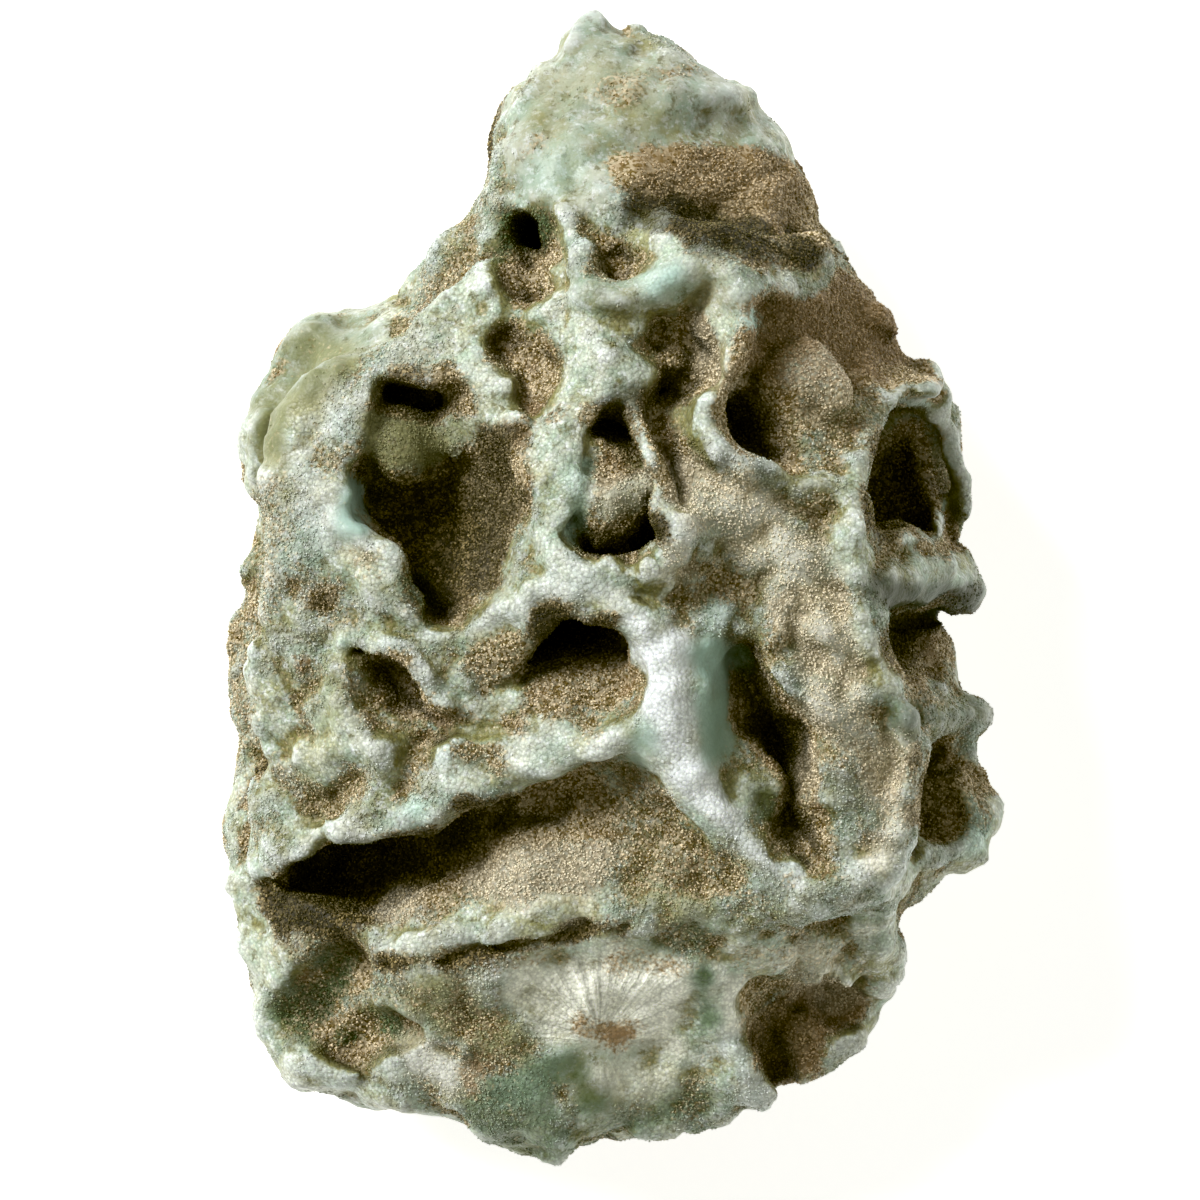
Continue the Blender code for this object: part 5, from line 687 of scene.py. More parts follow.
# White crust.
WHITE = {
    "centre": (0.5, ((480, 626, 12), (520, 604, 12), (560, 584, 14), (600, 588, 18), (640, 602, 16))),
    "spine": (1.0,
        ((640, 618, 14), (655, 650, 24), (668, 700, 30), (676, 745, 24), (690, 780, 18),
         (720, 815, 14), (755, 850, 12), (800, 885, 10))),
    "south_rim": (0.6, ((800, 888, 8), (860, 870, 8), (910, 850, 8))),
    "middle_lip": (0.4, ((640, 440, 6), (662, 490, 6), (672, 530, 8))),
    "sill": (0.4, ((430, 632, 8), (500, 606, 8))),
    "shelf": (0.15, ((455, 773, 20), (510, 755, 16), (560, 738, 16), (600, 730, 12))),
    "lip": (0.5, ((380, 948, 8), (440, 948, 8), (480, 938, 6))),
    "fan": (0.7, ((560, 1000, 30), (650, 1000, 30))),
    "crescent": (0.6, ((728, 980, 10), (738, 1015, 10), (722, 1055, 10))),
    "strand": (0.5, ((365, 966, 4), (350, 990, 4), (333, 1022, 4))),
    "south_lumps": (0.8, ((415, 1052, 18), (445, 1075, 18))),
    "white_spot": (0.9, ((765, 215, 8),)),
    "cave_rim": (0.4, ((880, 390, 6), (930, 393, 6))),
    "east": (0.45, ((868, 735, 14), (885, 760, 12), (890, 840, 12))),
    "plateau": (0.45, ((715, 452, 14), (742, 500, 22), (788, 560, 18), (820, 610, 16), (850, 680, 16))),
    "plateau_west": (0.4, ((690, 525, 14), (672, 570, 12))),
    "plate": (0.4, ((330, 400, 26), (305, 440, 16), (320, 510, 24), (385, 565, 12))),
}
# Crust that stays pale and smooth among the brown.
PALE = {
    "pit_lump": (0.75, ((382, 436, 20), (404, 442, 24), (426, 442, 14))),
    "pit_lump_small": (0.75, ((460, 434, 14),)),
    "middle_lump": (0.9, ((606, 503, 16), (632, 490, 12))),
    "channel_lump": (0.9, ((745, 780, 16), (756, 800, 16))),
    "centre_lump": (0.8, ((616, 368, 22),)),
    "small_knob": (0.9, ((461, 681, 14),)),
    "basin_lump": (0.35, ((806, 368, 22), (826, 388, 20), (800, 420, 16))),
    "band_edge": (0.9, ((600, 145, 12), (660, 105, 14), (700, 95, 10), (780, 145, 10))),
    "upper_fold": (0.8, ((586, 200, 16), (620, 216, 12), (650, 226, 10))),
    "s_north": (0.7, ((580, 300, 14), (620, 300, 12), (690, 262, 10), (730, 262, 10))),
}
# Grainy crust, where it isn't brown.
DRUSE = {
    "plateau": (0.8, ((700, 480, 40), (760, 520, 60), (780, 620, 70), (820, 700, 60), (850, 780, 40))),
    "plateau_west": (0.6, ((690, 560, 30), (710, 620, 30))),
    "plate": (0.35, ((340, 450, 50), (320, 520, 40))),
}
# Smooth crust, without sugary grain.
SOFT = {
    "top": (0.8, ((600, 60, 60), (560, 150, 60), (690, 90, 50), (740, 130, 30))),
    "lobe": (0.7, ((340, 335, 40), (275, 390, 30), (262, 450, 26))),
    "spine_teal": (0.8, ((640, 745, 22),)),
    "channel_wall": (0.8, ((712, 660, 20), (712, 745, 20))),
    "fan": (0.8, ((550, 990, 40), (650, 990, 40), (600, 1060, 50))),
    "pit_wall": (0.9, ((356, 490, 20), (362, 530, 16))),
    "fins": (0.5, ((900, 590, 24), (970, 590, 20), (900, 715, 20), (975, 712, 16))),
    "east_rim": (0.6, ((890, 392, 12), (935, 395, 12), (955, 470, 12))),
    "s_ridge": (0.5, ((590, 300, 20), (680, 275, 20), (740, 300, 20))),
}
# Crust that isn't brown in its dents, and has less olive and painted shade in them.
CLEAN = {
    "plate": (0.7, ((330, 400, 30), (320, 500, 36), (360, 590, 30))),
    "spine": (1.0, ((640, 618, 14), (655, 650, 24), (668, 700, 30), (676, 745, 24), (700, 790, 14))),
    "ridge": (0.9, ((480, 626, 12), (520, 604, 12), (560, 584, 14), (600, 588, 18), (640, 602, 16))),
    "shelf": (0.6, ((455, 773, 26), (510, 755, 18), (560, 738, 18), (600, 730, 14))),
    "lip": (0.6, ((380, 944, 10), (440, 942, 12), (505, 926, 10))),
    "fan": (1.0, ((545, 1000, 44), (650, 1000, 44), (600, 1060, 44))),
    "south_pale": (0.8, ((415, 1052, 22), (445, 1075, 20))),
}
# The rayed part of the fracture face.
STREAKED = {
    "fan": (1.0, ((545, 998, 40), (600, 985, 40), (658, 995, 40))),
    "fan_middle": (0.9, ((560, 1020, 30), (645, 1020, 34))),
    "fan_foot": (0.6, ((600, 1075, 14), (645, 1080, 24))),
    "crescent": (0.8, ((728, 980, 12), (738, 1018, 12))),
}
# Reddish brown.
RED = {
    "fan_core": (1.0, ((582, 1034, 12), (603, 1036, 18), (628, 1034, 12))),
    "fan_arc": (0.5, ((480, 962, 6), (560, 958, 6), (640, 958, 6), (684, 966, 6))),
    "south_patch": (0.7, ((478, 1075, 18),)),
    "south_east": (0.7, ((780, 1040, 34), (830, 1010, 30))),
    "band": (0.45, ((690, 165, 50), (750, 188, 60))),
    "basin": (0.7, ((785, 330, 48), (860, 325, 50))),
}
# Olive crust.
OLIVE_PATCHES = {
    "pit_lump": (1.0, ((382, 436, 22), (404, 442, 26), (426, 442, 16))),
    "pit_lump_small": (0.7, ((460, 434, 14),)),
    "basin": (0.8, ((780, 425, 24),)),
    "east_edge": (0.8, ((800, 262, 14), (826, 280, 12))),
    "middle_pit": (0.3, ((610, 450, 24), (625, 500, 30))),
    "lobe": (0.9, ((320, 350, 20), (350, 362, 18), (272, 420, 20), (268, 455, 16))),
    "top": (0.4, ((545, 120, 20), (600, 60, 16), (650, 120, 12))),
    "trough": (0.6, ((508, 240, 16),)),
    "cave_sill": (0.6, ((480, 645, 16), (520, 660, 14))),
    "west": (0.4, ((330, 690, 18), (310, 760, 16))),
    "slope": (0.6, ((650, 880, 30), (690, 900, 20))),
    "south": (0.8, ((430, 1000, 24), (520, 1050, 20))),
    "south_east_cave": (0.6, ((950, 780, 30),)),
}
# Crust with cream-coloured grains.
CREAMY = {
    "plateau": (1.0, ((700, 500, 30), (740, 520, 40), (790, 560, 40), (830, 640, 34), (835, 710, 34))),
    "slope": (0.85, ((500, 885, 30), (560, 880, 34), (600, 860, 24))),
    "slope_west": (0.5, ((400, 905, 24),)),
    "east": (0.9, ((885, 750, 16), (888, 810, 18), (880, 860, 12))),
    "s_ridge": (0.5, ((722, 280, 14), (715, 330, 16), (720, 380, 14))),
    "channel_rim": (0.4, ((800, 700, 14), (815, 780, 12))),
    "plate_south": (0.6, ((368, 557, 20),)),
    "middle_pit": (0.8, ((608, 490, 22), (632, 486, 16))),
    "plateau_west": (1.0, ((680, 570, 24),)),
    "basin": (0.5, ((812, 372, 20), (832, 392, 18), (820, 415, 16))),
    "south": (0.6, ((415, 1052, 24), (445, 1075, 22))),
    "east_rim": (0.8, ((862, 737, 16),)),
    "south_east_rim": (0.7, ((800, 965, 16), (835, 985, 18))),
}
# Painted shade: patches darkened to stand for the shade in hollows and on shaded walls.
PAINTED_SHADE_PATCHES = {
    "band_foot": (0.8, ((630, 208, 12), (672, 220, 14), (715, 234, 16), (755, 244, 16), (810, 256, 14))),
    "pit_east_wall": (0.7, ((485, 440, 22), (495, 500, 22), (486, 570, 24))),
    "pit_recess": (0.8, ((392, 392, 14), (420, 392, 16))),
    "middle_holes": (1.0, ((656, 526, 14), (640, 540, 10), (600, 546, 10))),
    "middle_top": (0.9, ((613, 417, 10),)),
    "west_dimple": (0.5, ((325, 600, 18),)),
    "under_shelf": (0.9, ((290, 905, 16), (345, 892, 20), (420, 858, 16), (500, 822, 8))),
    "channel": (0.9, ((775, 715, 12), (782, 745, 10))),
    "south_west": (0.5, ((320, 1000, 22),)),
    "slope_low": (0.35, ((453, 875, 18),)),
    "shelf_west": (0.5, ((342, 848, 12),)),
    "pit_rim": (0.3, ((473, 560, 14),)),
    "south_west_slope": (0.5, ((350, 930, 12),)),
    "cave": (1.0, ((552, 630, 12), (585, 624, 14))),
    "fin_two_side": (0.9, ((885, 595, 18), (930, 594, 20), (965, 602, 16))),
    "fin_three_side": (0.4, ((900, 716, 12), (970, 720, 12))),
    "pit_lump": (0.35, ((382, 436, 20), (410, 442, 24))),
    "gap": (0.6, ((905, 620, 16),)),
    "question": (0.6, ((643, 396, 12),)),
    "channel_lump": (0.6, ((752, 785, 16),)),
    "shelf_end": (0.25, ((540, 742, 16),)),
}


def at(east, south, z):
    """The point at height z, in mm, that the plan view shows at this plan position."""
    near = (EYE_HEIGHT - z) / (EYE_HEIGHT - OUTLINE_Z) * PLAN_UNIT
    eye_x = (EYE[0] - CENTRE[0]) * PLAN_UNIT
    eye_y = (CENTRE[1] - EYE[1]) * PLAN_UNIT
    return eye_x + (east - EYE[0]) * near, eye_y + (EYE[1] - south) * near, z


def plan_loop(points, z, steps):
    """A closed smooth curve through plan points at one height, in mm."""
    here = np.asarray(points, float)
    before, after, beyond = (np.roll(here, shift, axis=0) for shift in (1, -1, -2))
    t = np.linspace(0, 1, steps, endpoint=False)[:, None, None]
    curve = 2 * here + (after - before) * t
    curve = curve + (2 * before - 5 * here + 4 * after - beyond) * t**2
    curve = curve + (3 * here - before - 3 * after + beyond) * t**3
    curve = (curve / 2).transpose(1, 0, 2).reshape(-1, 2)
    return np.array([at(east, south, z)[:2] for east, south in curve])


def links(points):
    """Each pair of neighbours in a line of points, or a single point with itself."""
    return zip(points, points) if len(points) == 1 else zip(points[:-1], points[1:])


def along(a, b, x, y):
    """How far along the line from a to b each place is, 0 to 1, and its squared distance from the line."""
    ex, ey = b[0] - a[0], b[1] - a[1]
    t = np.clip(((x - a[0]) * ex + (y - a[1]) * ey) / max(ex * ex + ey * ey, TINY), 0, 1)
    return t, (x - a[0] - t * ex) ** 2 + (y - a[1] - t * ey) ** 2


def loop_distance(loop, x, y):
    """Distance in the plane from a closed loop, negative inside it."""
    ends = list(zip(loop, np.roll(loop, -1, axis=0)))
    far = np.sqrt(reduce(np.minimum, (along(a, b, x, y)[1] for a, b in ends)))
    inside = np.zeros(x.shape, bool)
    for a, b in ends:
        if a[1] != b[1]:
            crossing = (b[0] - a[0]) * (y - a[1]) / (b[1] - a[1]) + a[0]
            inside ^= ((a[1] > y) != (b[1] > y)) & (x < crossing)
    return np.where(inside, -far, far)


def spread(dx, dy):
    """The bending kernel of a thin plate."""
    r2 = dx * dx + dy * dy
    return 0.5 * r2 * np.log(r2 + TINY)


def thin_plate(points, x, y, softness):
    """Height of a bent sheet that passes near the given points."""
    p = np.array([at(*point) for point in points])
    n = len(p)
    system = np.zeros((n + 3, n + 3))
    system[:n, :n] = spread(p[:, None, 0] - p[None, :, 0], p[:, None, 1] - p[None, :, 1])
    system[:n, :n] += softness * np.eye(n)
    system[:n, n:] = np.c_[np.ones(n), p[:, :2]]
    system[n:, :n] = system[:n, n:].T
    weights = np.linalg.solve(system, np.r_[p[:, 2], 0, 0, 0])
    z = weights[n] + weights[n + 1] * x + weights[n + 2] * y
    for weight, (px, py, _) in zip(weights, p):
        z = z + weight * spread(x - px, y - py)
    return z


def smooth_min(a, b, width):
    """The lower of two fields, blended where they are closer than width."""
    close = np.maximum(width - np.abs(a - b), 0) / width
    return np.minimum(a, b) - close * close * width / 4


def smooth_max(a, b, width):
    return -smooth_min(-a, -b, width)


def ridge_height(slope, width, line, x, y):
    """Height of a ridge whose crest follows a line and whose flanks fall away from it."""
    best = None
    for a, b in links(np.array([at(*point) for point in line])):
        t, far2 = along(a, b, x, y)
        height = a[2] + t * (b[2] - a[2]) - slope * (np.sqrt(far2 + width * width) - width)
        best = height if best is None else smooth_max(best, height, CREST_BLEND)
    return best


def spline_weights(count, spacing, cell, nodes):
    """Weights that turn values on a coarse row of nodes into a smooth curve on a fine one."""
    place = np.arange(count) * spacing / cell
    first = np.floor(place).astype(int)
    t = place - first
    parts = ((1 - t) ** 3, 3 * t**3 - 6 * t**2 + 4, -3 * t**3 + 3 * t**2 + 3 * t + 1, t**3)
    weights = np.zeros((count, nodes), np.float32)
    for step, part in enumerate(parts):
        weights[np.arange(count), first + step] = part / 6
    return weights


class Stone:
    """A block of space sampled on a grid of points, holding how far each is outside the stone, in mm."""

    def __init__(self, spacing):
        self.h = spacing
        self.low = np.array(BLOCK_LOW, float)
        self.count = np.ceil((np.array(BLOCK_HIGH) - self.low) / spacing).astype(int) + 1
        self.axes = [self.low[k] + spacing * np.arange(self.count[k]) for k in range(3)]
        self.warp = [sum(far * self.noise(cell, seed + k) for far, cell, seed in WARPS) for k in range(3)]
        self.out = None

    def noise(self, cell, seed):
        """Smooth random hills and dips of one size, about -1 to 1."""
        rng = np.random.default_rng(seed)
        nodes = [int(self.count[k] * self.h / cell) + 5 for k in range(3)]
        values = rng.uniform(-NOISE_GAIN, NOISE_GAIN, nodes).astype(np.float32)
        for k in range(3):
            weights = spline_weights(self.count[k], self.h, cell, nodes[k])
            values = np.moveaxis(np.tensordot(weights, values, axes=(1, k)), 0, k)
        return values

    def lumps(self, cell, seed):
        """Rounded lumps near the surface: 1 at their tops, falling to the creases between them."""
        near = np.nonzero(np.abs(self.out) < LUMP_REACH)
        places = [self.axes[k][near[k]] + LUMP_WARP * self.warp[k][near] - self.low[k] for k in range(3)]
        p = np.stack(places, axis=1) / cell
        nodes = np.array([int(self.count[k] * self.h / cell) + 6 for k in range(3)])
        shift = np.random.default_rng(seed).uniform(*LUMP_SPREAD, (*nodes, 3))
        home = np.floor(p).astype(int)
        best = np.full(len(p), FAR_OFF)
        for step in np.ndindex(3, 3, 3):
            c = np.clip(home + step - 1, 0, nodes - 1)
            far2 = ((p - c - shift[c[:, 0], c[:, 1], c[:, 2]]) ** 2).sum(axis=1)
            best = smooth_min(best, far2, CREASE_WIDTH)
        field = np.zeros(self.out.shape, np.float32)
        field[near] = 1 - np.minimum(best, 1)
        return field

    def window(self, low, high):
        """The part of the grid between two corners."""
        first = np.clip(np.floor((np.array(low) - self.low) / self.h).astype(int), 0, self.count)
        last = np.clip(np.ceil((np.array(high) - self.low) / self.h).astype(int) + 1, 0, self.count)
        return tuple(slice(a, b) for a, b in zip(first, last))

    def places(self, where):
        """Coordinates of a part of the grid, slightly warped so that no edge is too regular."""
        x, y, z = (self.axes[k][where[k]] for k in range(3))
        warp = [w[where] for w in self.warp]
        return x[:, None, None] + warp[0], y[None, :, None] + warp[1], z[None, None, :] + warp[2]

    def chain(self, tall, balls):
        """Distance from a string of balls joined by tapered rods, stretched upwards by tall."""
        p = np.array([(*at(east, south, z), r) for east, south, z, r in balls])
        reach = p[:, 3:] * max(1.0, tall) + CHAIN_MARGIN
        where = self.window((p[:, :3] - reach).min(axis=0), (p[:, :3] + reach).max(axis=0))
        x, y, z = self.places(where)
        best = None
        for a, b in links(p):
            rod = (b - a)[:3] / (1, 1, tall)
            ux, uy, uz = x - a[0], y - a[1], (z - a[2]) / tall
            t = np.clip((ux * rod[0] + uy * rod[1] + uz * rod[2]) / max((rod * rod).sum(), TINY), 0, 1)
            far = np.sqrt((ux - t * rod[0]) ** 2 + (uy - t * rod[1]) ** 2 + (uz - t * rod[2]) ** 2)
            far = far - (a[3] + t * (b[3] - a[3]))
            best = far if best is None else np.minimum(best, far)
        return where, best

    def swell(self, soft, tall, balls):
        where, far = self.chain(tall, balls)
        self.out[where] = smooth_min(self.out[where], far, soft)

    def hollow(self, soft, tall, balls):
        where, far = self.chain(tall, balls)
        self.out[where] = smooth_max(self.out[where], -far, soft)

    def pit(self, edge, rim_z, draft, lean, fillet, rim, floor):
        """Cuts a pit with this rim, whose walls draw in and lean with depth, down to its floor."""
        loop = plan_loop(rim, rim_z, PIT_STEPS)
        depth = rim_z - min(point[2] for point in floor) + PIT_MARGIN
        slack = PIT_MARGIN + depth * max(abs(lean[0]), abs(lean[1]))
        low, high = loop.min(axis=0) - slack, loop.max(axis=0) + slack
        where = self.window((*low, rim_z - depth), (*high, BLOCK_HIGH[2]))
        x, y, z = self.places(where)
        down = rim_z - z
        wall = loop_distance(loop, x - lean[0] * down, y - lean[1] * down) + draft * np.maximum(down, 0)
        wall = wall / math.hypot(1, draft)
        ground = thin_plate(floor, x[:, :, :1], y[:, :, :1], PIT_SOFTNESS) - z
        self.out[where] = smooth_max(self.out[where], -smooth_max(wall, ground, fillet), edge)


def line_distance(line, x, y):
    """Distance in the plane from a line of plan points, or from a single one."""
    p = np.array([at(east, south, PLATE_Z)[:2] for east, south in line])
    return np.sqrt(reduce(np.minimum, (along(a, b, x, y)[1] for a, b in links(p))))


def roughness_share(x, y):
    """How much of the small lumps and folds there is at each place: 1, or less where the crust is calm."""
    share = np.ones(x.shape)
    for less, width, line in CALM.values():
        share = np.minimum(share, 1 - less * np.exp(-((line_distance(line, x, y) / width) ** 4)))
    return share[:, :, None].astype(np.float32)


def add_lumps(stone, rough, cell, seed, height, floor, patch_cell, mean, varies):
    """A layer of lumps that are higher in some patches than in others."""
    share = np.clip(mean + varies * stone.noise(patch_cell, seed), LUMP_LEAST * mean, mean + varies)
    stone.out += rough * share * (floor - height * stone.lumps(cell, seed))


def terrain(points, crests, relief, x, y):
    """A height map with its ridges, and how much its steepness shortens a step straight down to it."""
    z = thin_plate(points, x, y, TERRAIN_SOFTNESS)
    for rise, width, line in relief.values():
        z = z + rise * np.exp(-((line_distance(line, x, y) / width) ** 2))
    for join, slope, width, line in crests.values():
        z = smooth_max(z, ridge_height(slope, width, line, x, y), join)
    across, along = np.gradient(z, x[1, 0] - x[0, 0])
    steep = 1 / np.sqrt(1 + across**2 + along**2)
    return z[:, :, None].astype(np.float32), steep[:, :, None].astype(np.float32)


def make_mass(stone, x, y, rim, z):
    """A low mass, with a raised plate joined to it."""
    edge = loop_distance(plan_loop(PLATE, PLATE_Z, OUTLINE_STEPS), x, y)[:, :, None].astype(np.float32)
    low, low_steep = terrain(LOW_GROUND, LOW_CRESTS, LOW_RELIEF, x, y)
    high, high_steep = terrain(HIGH_GROUND, HIGH_CRESTS, HIGH_RELIEF, x, y)
    stone.uncut = np.where(edge < 0, np.maximum(low, high), low)[:, :, 0]
    below = np.maximum(OUTLINE_Z - z, 0) / SIDE_SPAN
    side = rim + SIDE_TUCK * (1 + SIDE_WAVE * stone.noise(SIDE_CELL, SIDE_SEED)) * below**2
    mass = smooth_max(side, (z - low) * low_steep, RIM_ROUND)
    edge = edge + PLATE_UNDERCUT * np.clip(PLATE_Z - z, *UNDERCUT_SPAN)
    plate = smooth_max(edge, (z - high) * high_steep, PLATE_ROUND)
    stone.out = smooth_min(mass, smooth_max(plate, side, RIM_ROUND / 2), PLATE_JOIN)


def roughen(stone, rough):
    """Lumps, folds and fine roughness all over the stone."""
    add_lumps(stone, rough, *BIG_LUMPS)
    for height, cell, seed in FOLDS:
        stone.out += rough * height * (FOLD_MEAN - np.abs(stone.noise(cell, seed)))
    add_lumps(stone, rough, *SMALL_LUMPS)
    for height, cell, seed in ROUGHNESS:
        stone.out += height * stone.noise(cell, seed)


def cut_underside(stone, rim, z):
    """The underside that the stone lies on: low, uneven and flat in its middle."""
    under = UNDER_LIFT * np.exp(np.minimum(rim, 0) / UNDER_REACH) - UNDER_SINK
    under = under + UNDER_WAVE * stone.noise(UNDER_CELL, UNDER_SEED)[:, :, :1]
    stone.out = smooth_max(stone.out, (under - z) * UNDER_STEEP, UNDER_ROUND)
    stone.out = np.maximum(stone.out, -z)


def make_stone(spacing):
    """The whole stone: its mass, then swellings, pits, hollows and lumps, roughness and the underside."""
    stone = Stone(spacing)
    x, y = np.meshgrid(stone.axes[0], stone.axes[1], indexing="ij")
    z = stone.axes[2][None, None, :].astype(np.float32)
    rim = loop_distance(plan_loop(OUTLINE, OUTLINE_Z, OUTLINE_STEPS), x, y)[:, :, None].astype(np.float32)
    make_mass(stone, x, y, rim, z)
    steps = ((stone.swell, SWELLS), (stone.pit, PITS), (stone.hollow, HOLLOWS), (stone.swell, LUMPS))
    for work, table in steps:
        for shape in table.values():
            work(*shape)
    roughen(stone, roughness_share(x, y))
    cut_underside(stone, rim, z)
    return stone


def skin(stone):
    """The surface: a point in each cell that it crosses, and a face round each edge that it cuts."""
    out = np.where(stone.out < 0, np.minimum(stone.out, -THINNEST), np.maximum(stone.out, THINNEST))
    cells = np.array(out.shape) - 1
    total = np.zeros((3, cells.prod()))
    hits = np.zeros(cells.prod())
    faces = []
    for axis in range(3):
        after = np.delete(out, 0, axis)
        before = np.delete(out, -1, axis)
        edge = np.argwhere((before < 0) != (after < 0))
        first, last = before[tuple(edge.T)], after[tuple(edge.T)]
        place = edge.astype(float)
        place[:, axis] += first / (first - last)
        ring = []
        for back in ((0, 0), (1, 0), (1, 1), (0, 1)):
            cell = edge.copy()
            cell[:, (axis + 1) % 3] -= back[0]
            cell[:, (axis + 2) % 3] -= back[1]
            ring.append(np.ravel_multi_index(cell.T, cells))
            hits += np.bincount(ring[-1], minlength=hits.size)
            for k in range(3):
                total[k] += np.bincount(ring[-1], weights=place[:, k], minlength=hits.size)
        ring = np.stack(ring, axis=1)
        faces.append(np.where((first < 0)[:, None], ring, ring[:, ::-1]))
    faces = largest_piece(np.concatenate(faces))
    used, faces = np.unique(faces, return_inverse=True)
    points = stone.low + stone.h * (total[:, used] / hits[used]).T
    return points, faces.reshape(-1, 4)


def largest_piece(faces):
    """Only the faces of the piece with the most of them."""
    used, corners = np.unique(faces, return_inverse=True)
    corners = corners.reshape(faces.shape)
    label = np.arange(len(used))
    while True:
        lowest = np.repeat(label[corners].min(axis=1), 4)
        new = label.copy()
        np.minimum.at(new, corners.ravel(), lowest)
        new = new[new]
        if (new == label).all():
            break
        label = new
    piece = label[corners[:, 0]]
    return faces[piece == np.bincount(piece).argmax()]


def outside_at(stone, points):
    """How far points, in mm, are outside the stone, read between the points of its grid."""
    place = (points - stone.low) / stone.h
    first = np.clip(np.floor(place).astype(int), 0, stone.count - 2)
    t = place - first
    total = np.zeros(len(points))
    for step in np.ndindex(2, 2, 2):
        weight = np.prod(np.where(step, t, 1 - t), axis=1)
        total += weight * stone.out[tuple((first + step).T)]
    return total


def bulge(stone, points, reach):
    """How much the surface bulges over this reach in mm: above 0 on lumps and ridges, below 0 in dents."""
    sides = reach * np.concatenate((np.eye(3), -np.eye(3)))
    return sum(outside_at(stone, points + side) for side in sides) / (len(sides) * reach)


def noise_at(stone, points, cell, seed):
    """The stone's noise of one size, read at points."""
    values = stone.noise(cell, seed)
    near = np.clip(np.rint((points - stone.low) / stone.h).astype(int), 0, stone.count - 1)
    return values[tuple(near.T)]


def rise(value, low, high):
    """0 below low, 1 above high, and a smooth step between them."""
    t = np.clip((value - low) / (high - low), 0, 1)
    return t * t * (3 - 2 * t)


def plan_places(points):
    """Plan positions (east, south) of points in mm, as seen from the eye."""
    near = (EYE_HEIGHT - points[:, 2]) / (EYE_HEIGHT - OUTLINE_Z) * PLAN_UNIT
    eye_x, eye_y, _ = at(*EYE, 0)
    return EYE[0] + (points[:, 0] - eye_x) / near, EYE[1] - (points[:, 1] - eye_y) / near


def patch(east, south, ragged, discs):
    """1 well inside a string of discs on the plan and 0 outside it, with a ragged, soft edge."""
    best = None
    for a, b in links(np.array(discs, float)):
        t, far2 = along(a, b, east, south)
        far = np.sqrt(far2) - (a[2] + t * (b[2] - a[2]))
        best = far if best is None else np.minimum(best, far)
    return 1 - rise(best + EDGE_RAGGED * ragged, -EDGE_SOFT, EDGE_SOFT)


def patches(table, east, south, ragged):
    """The strongest of a table's patches at each place."""
    best = np.zeros(len(east))
    for strength, discs in table.values():
        best = np.maximum(best, strength * patch(east, south, ragged, discs))
    return best


def measure_relief(stone, points, normals):
    """How far each point faces front, how deep it is sunk and hidden, and how it bulges over each reach."""
    height = points[:, 2]
    spots = np.clip(np.rint((points[:, :2] - stone.low[:2]) / stone.h).astype(int), 0, stone.count[:2] - 1)
    sunk = stone.uncut[tuple(spots.T)] - height
    front = rise(normals[:, 2] + FRONT_LIFT * (height - OUTLINE_Z), *FRONT)
    clear = [np.clip(outside_at(stone, points + reach * normals) / reach, 0, 1) for reach in SIGHT]
    return front, sunk, 1 - sum(clear) / len(SIGHT), [bulge(stone, points, reach) for reach in BULGES]


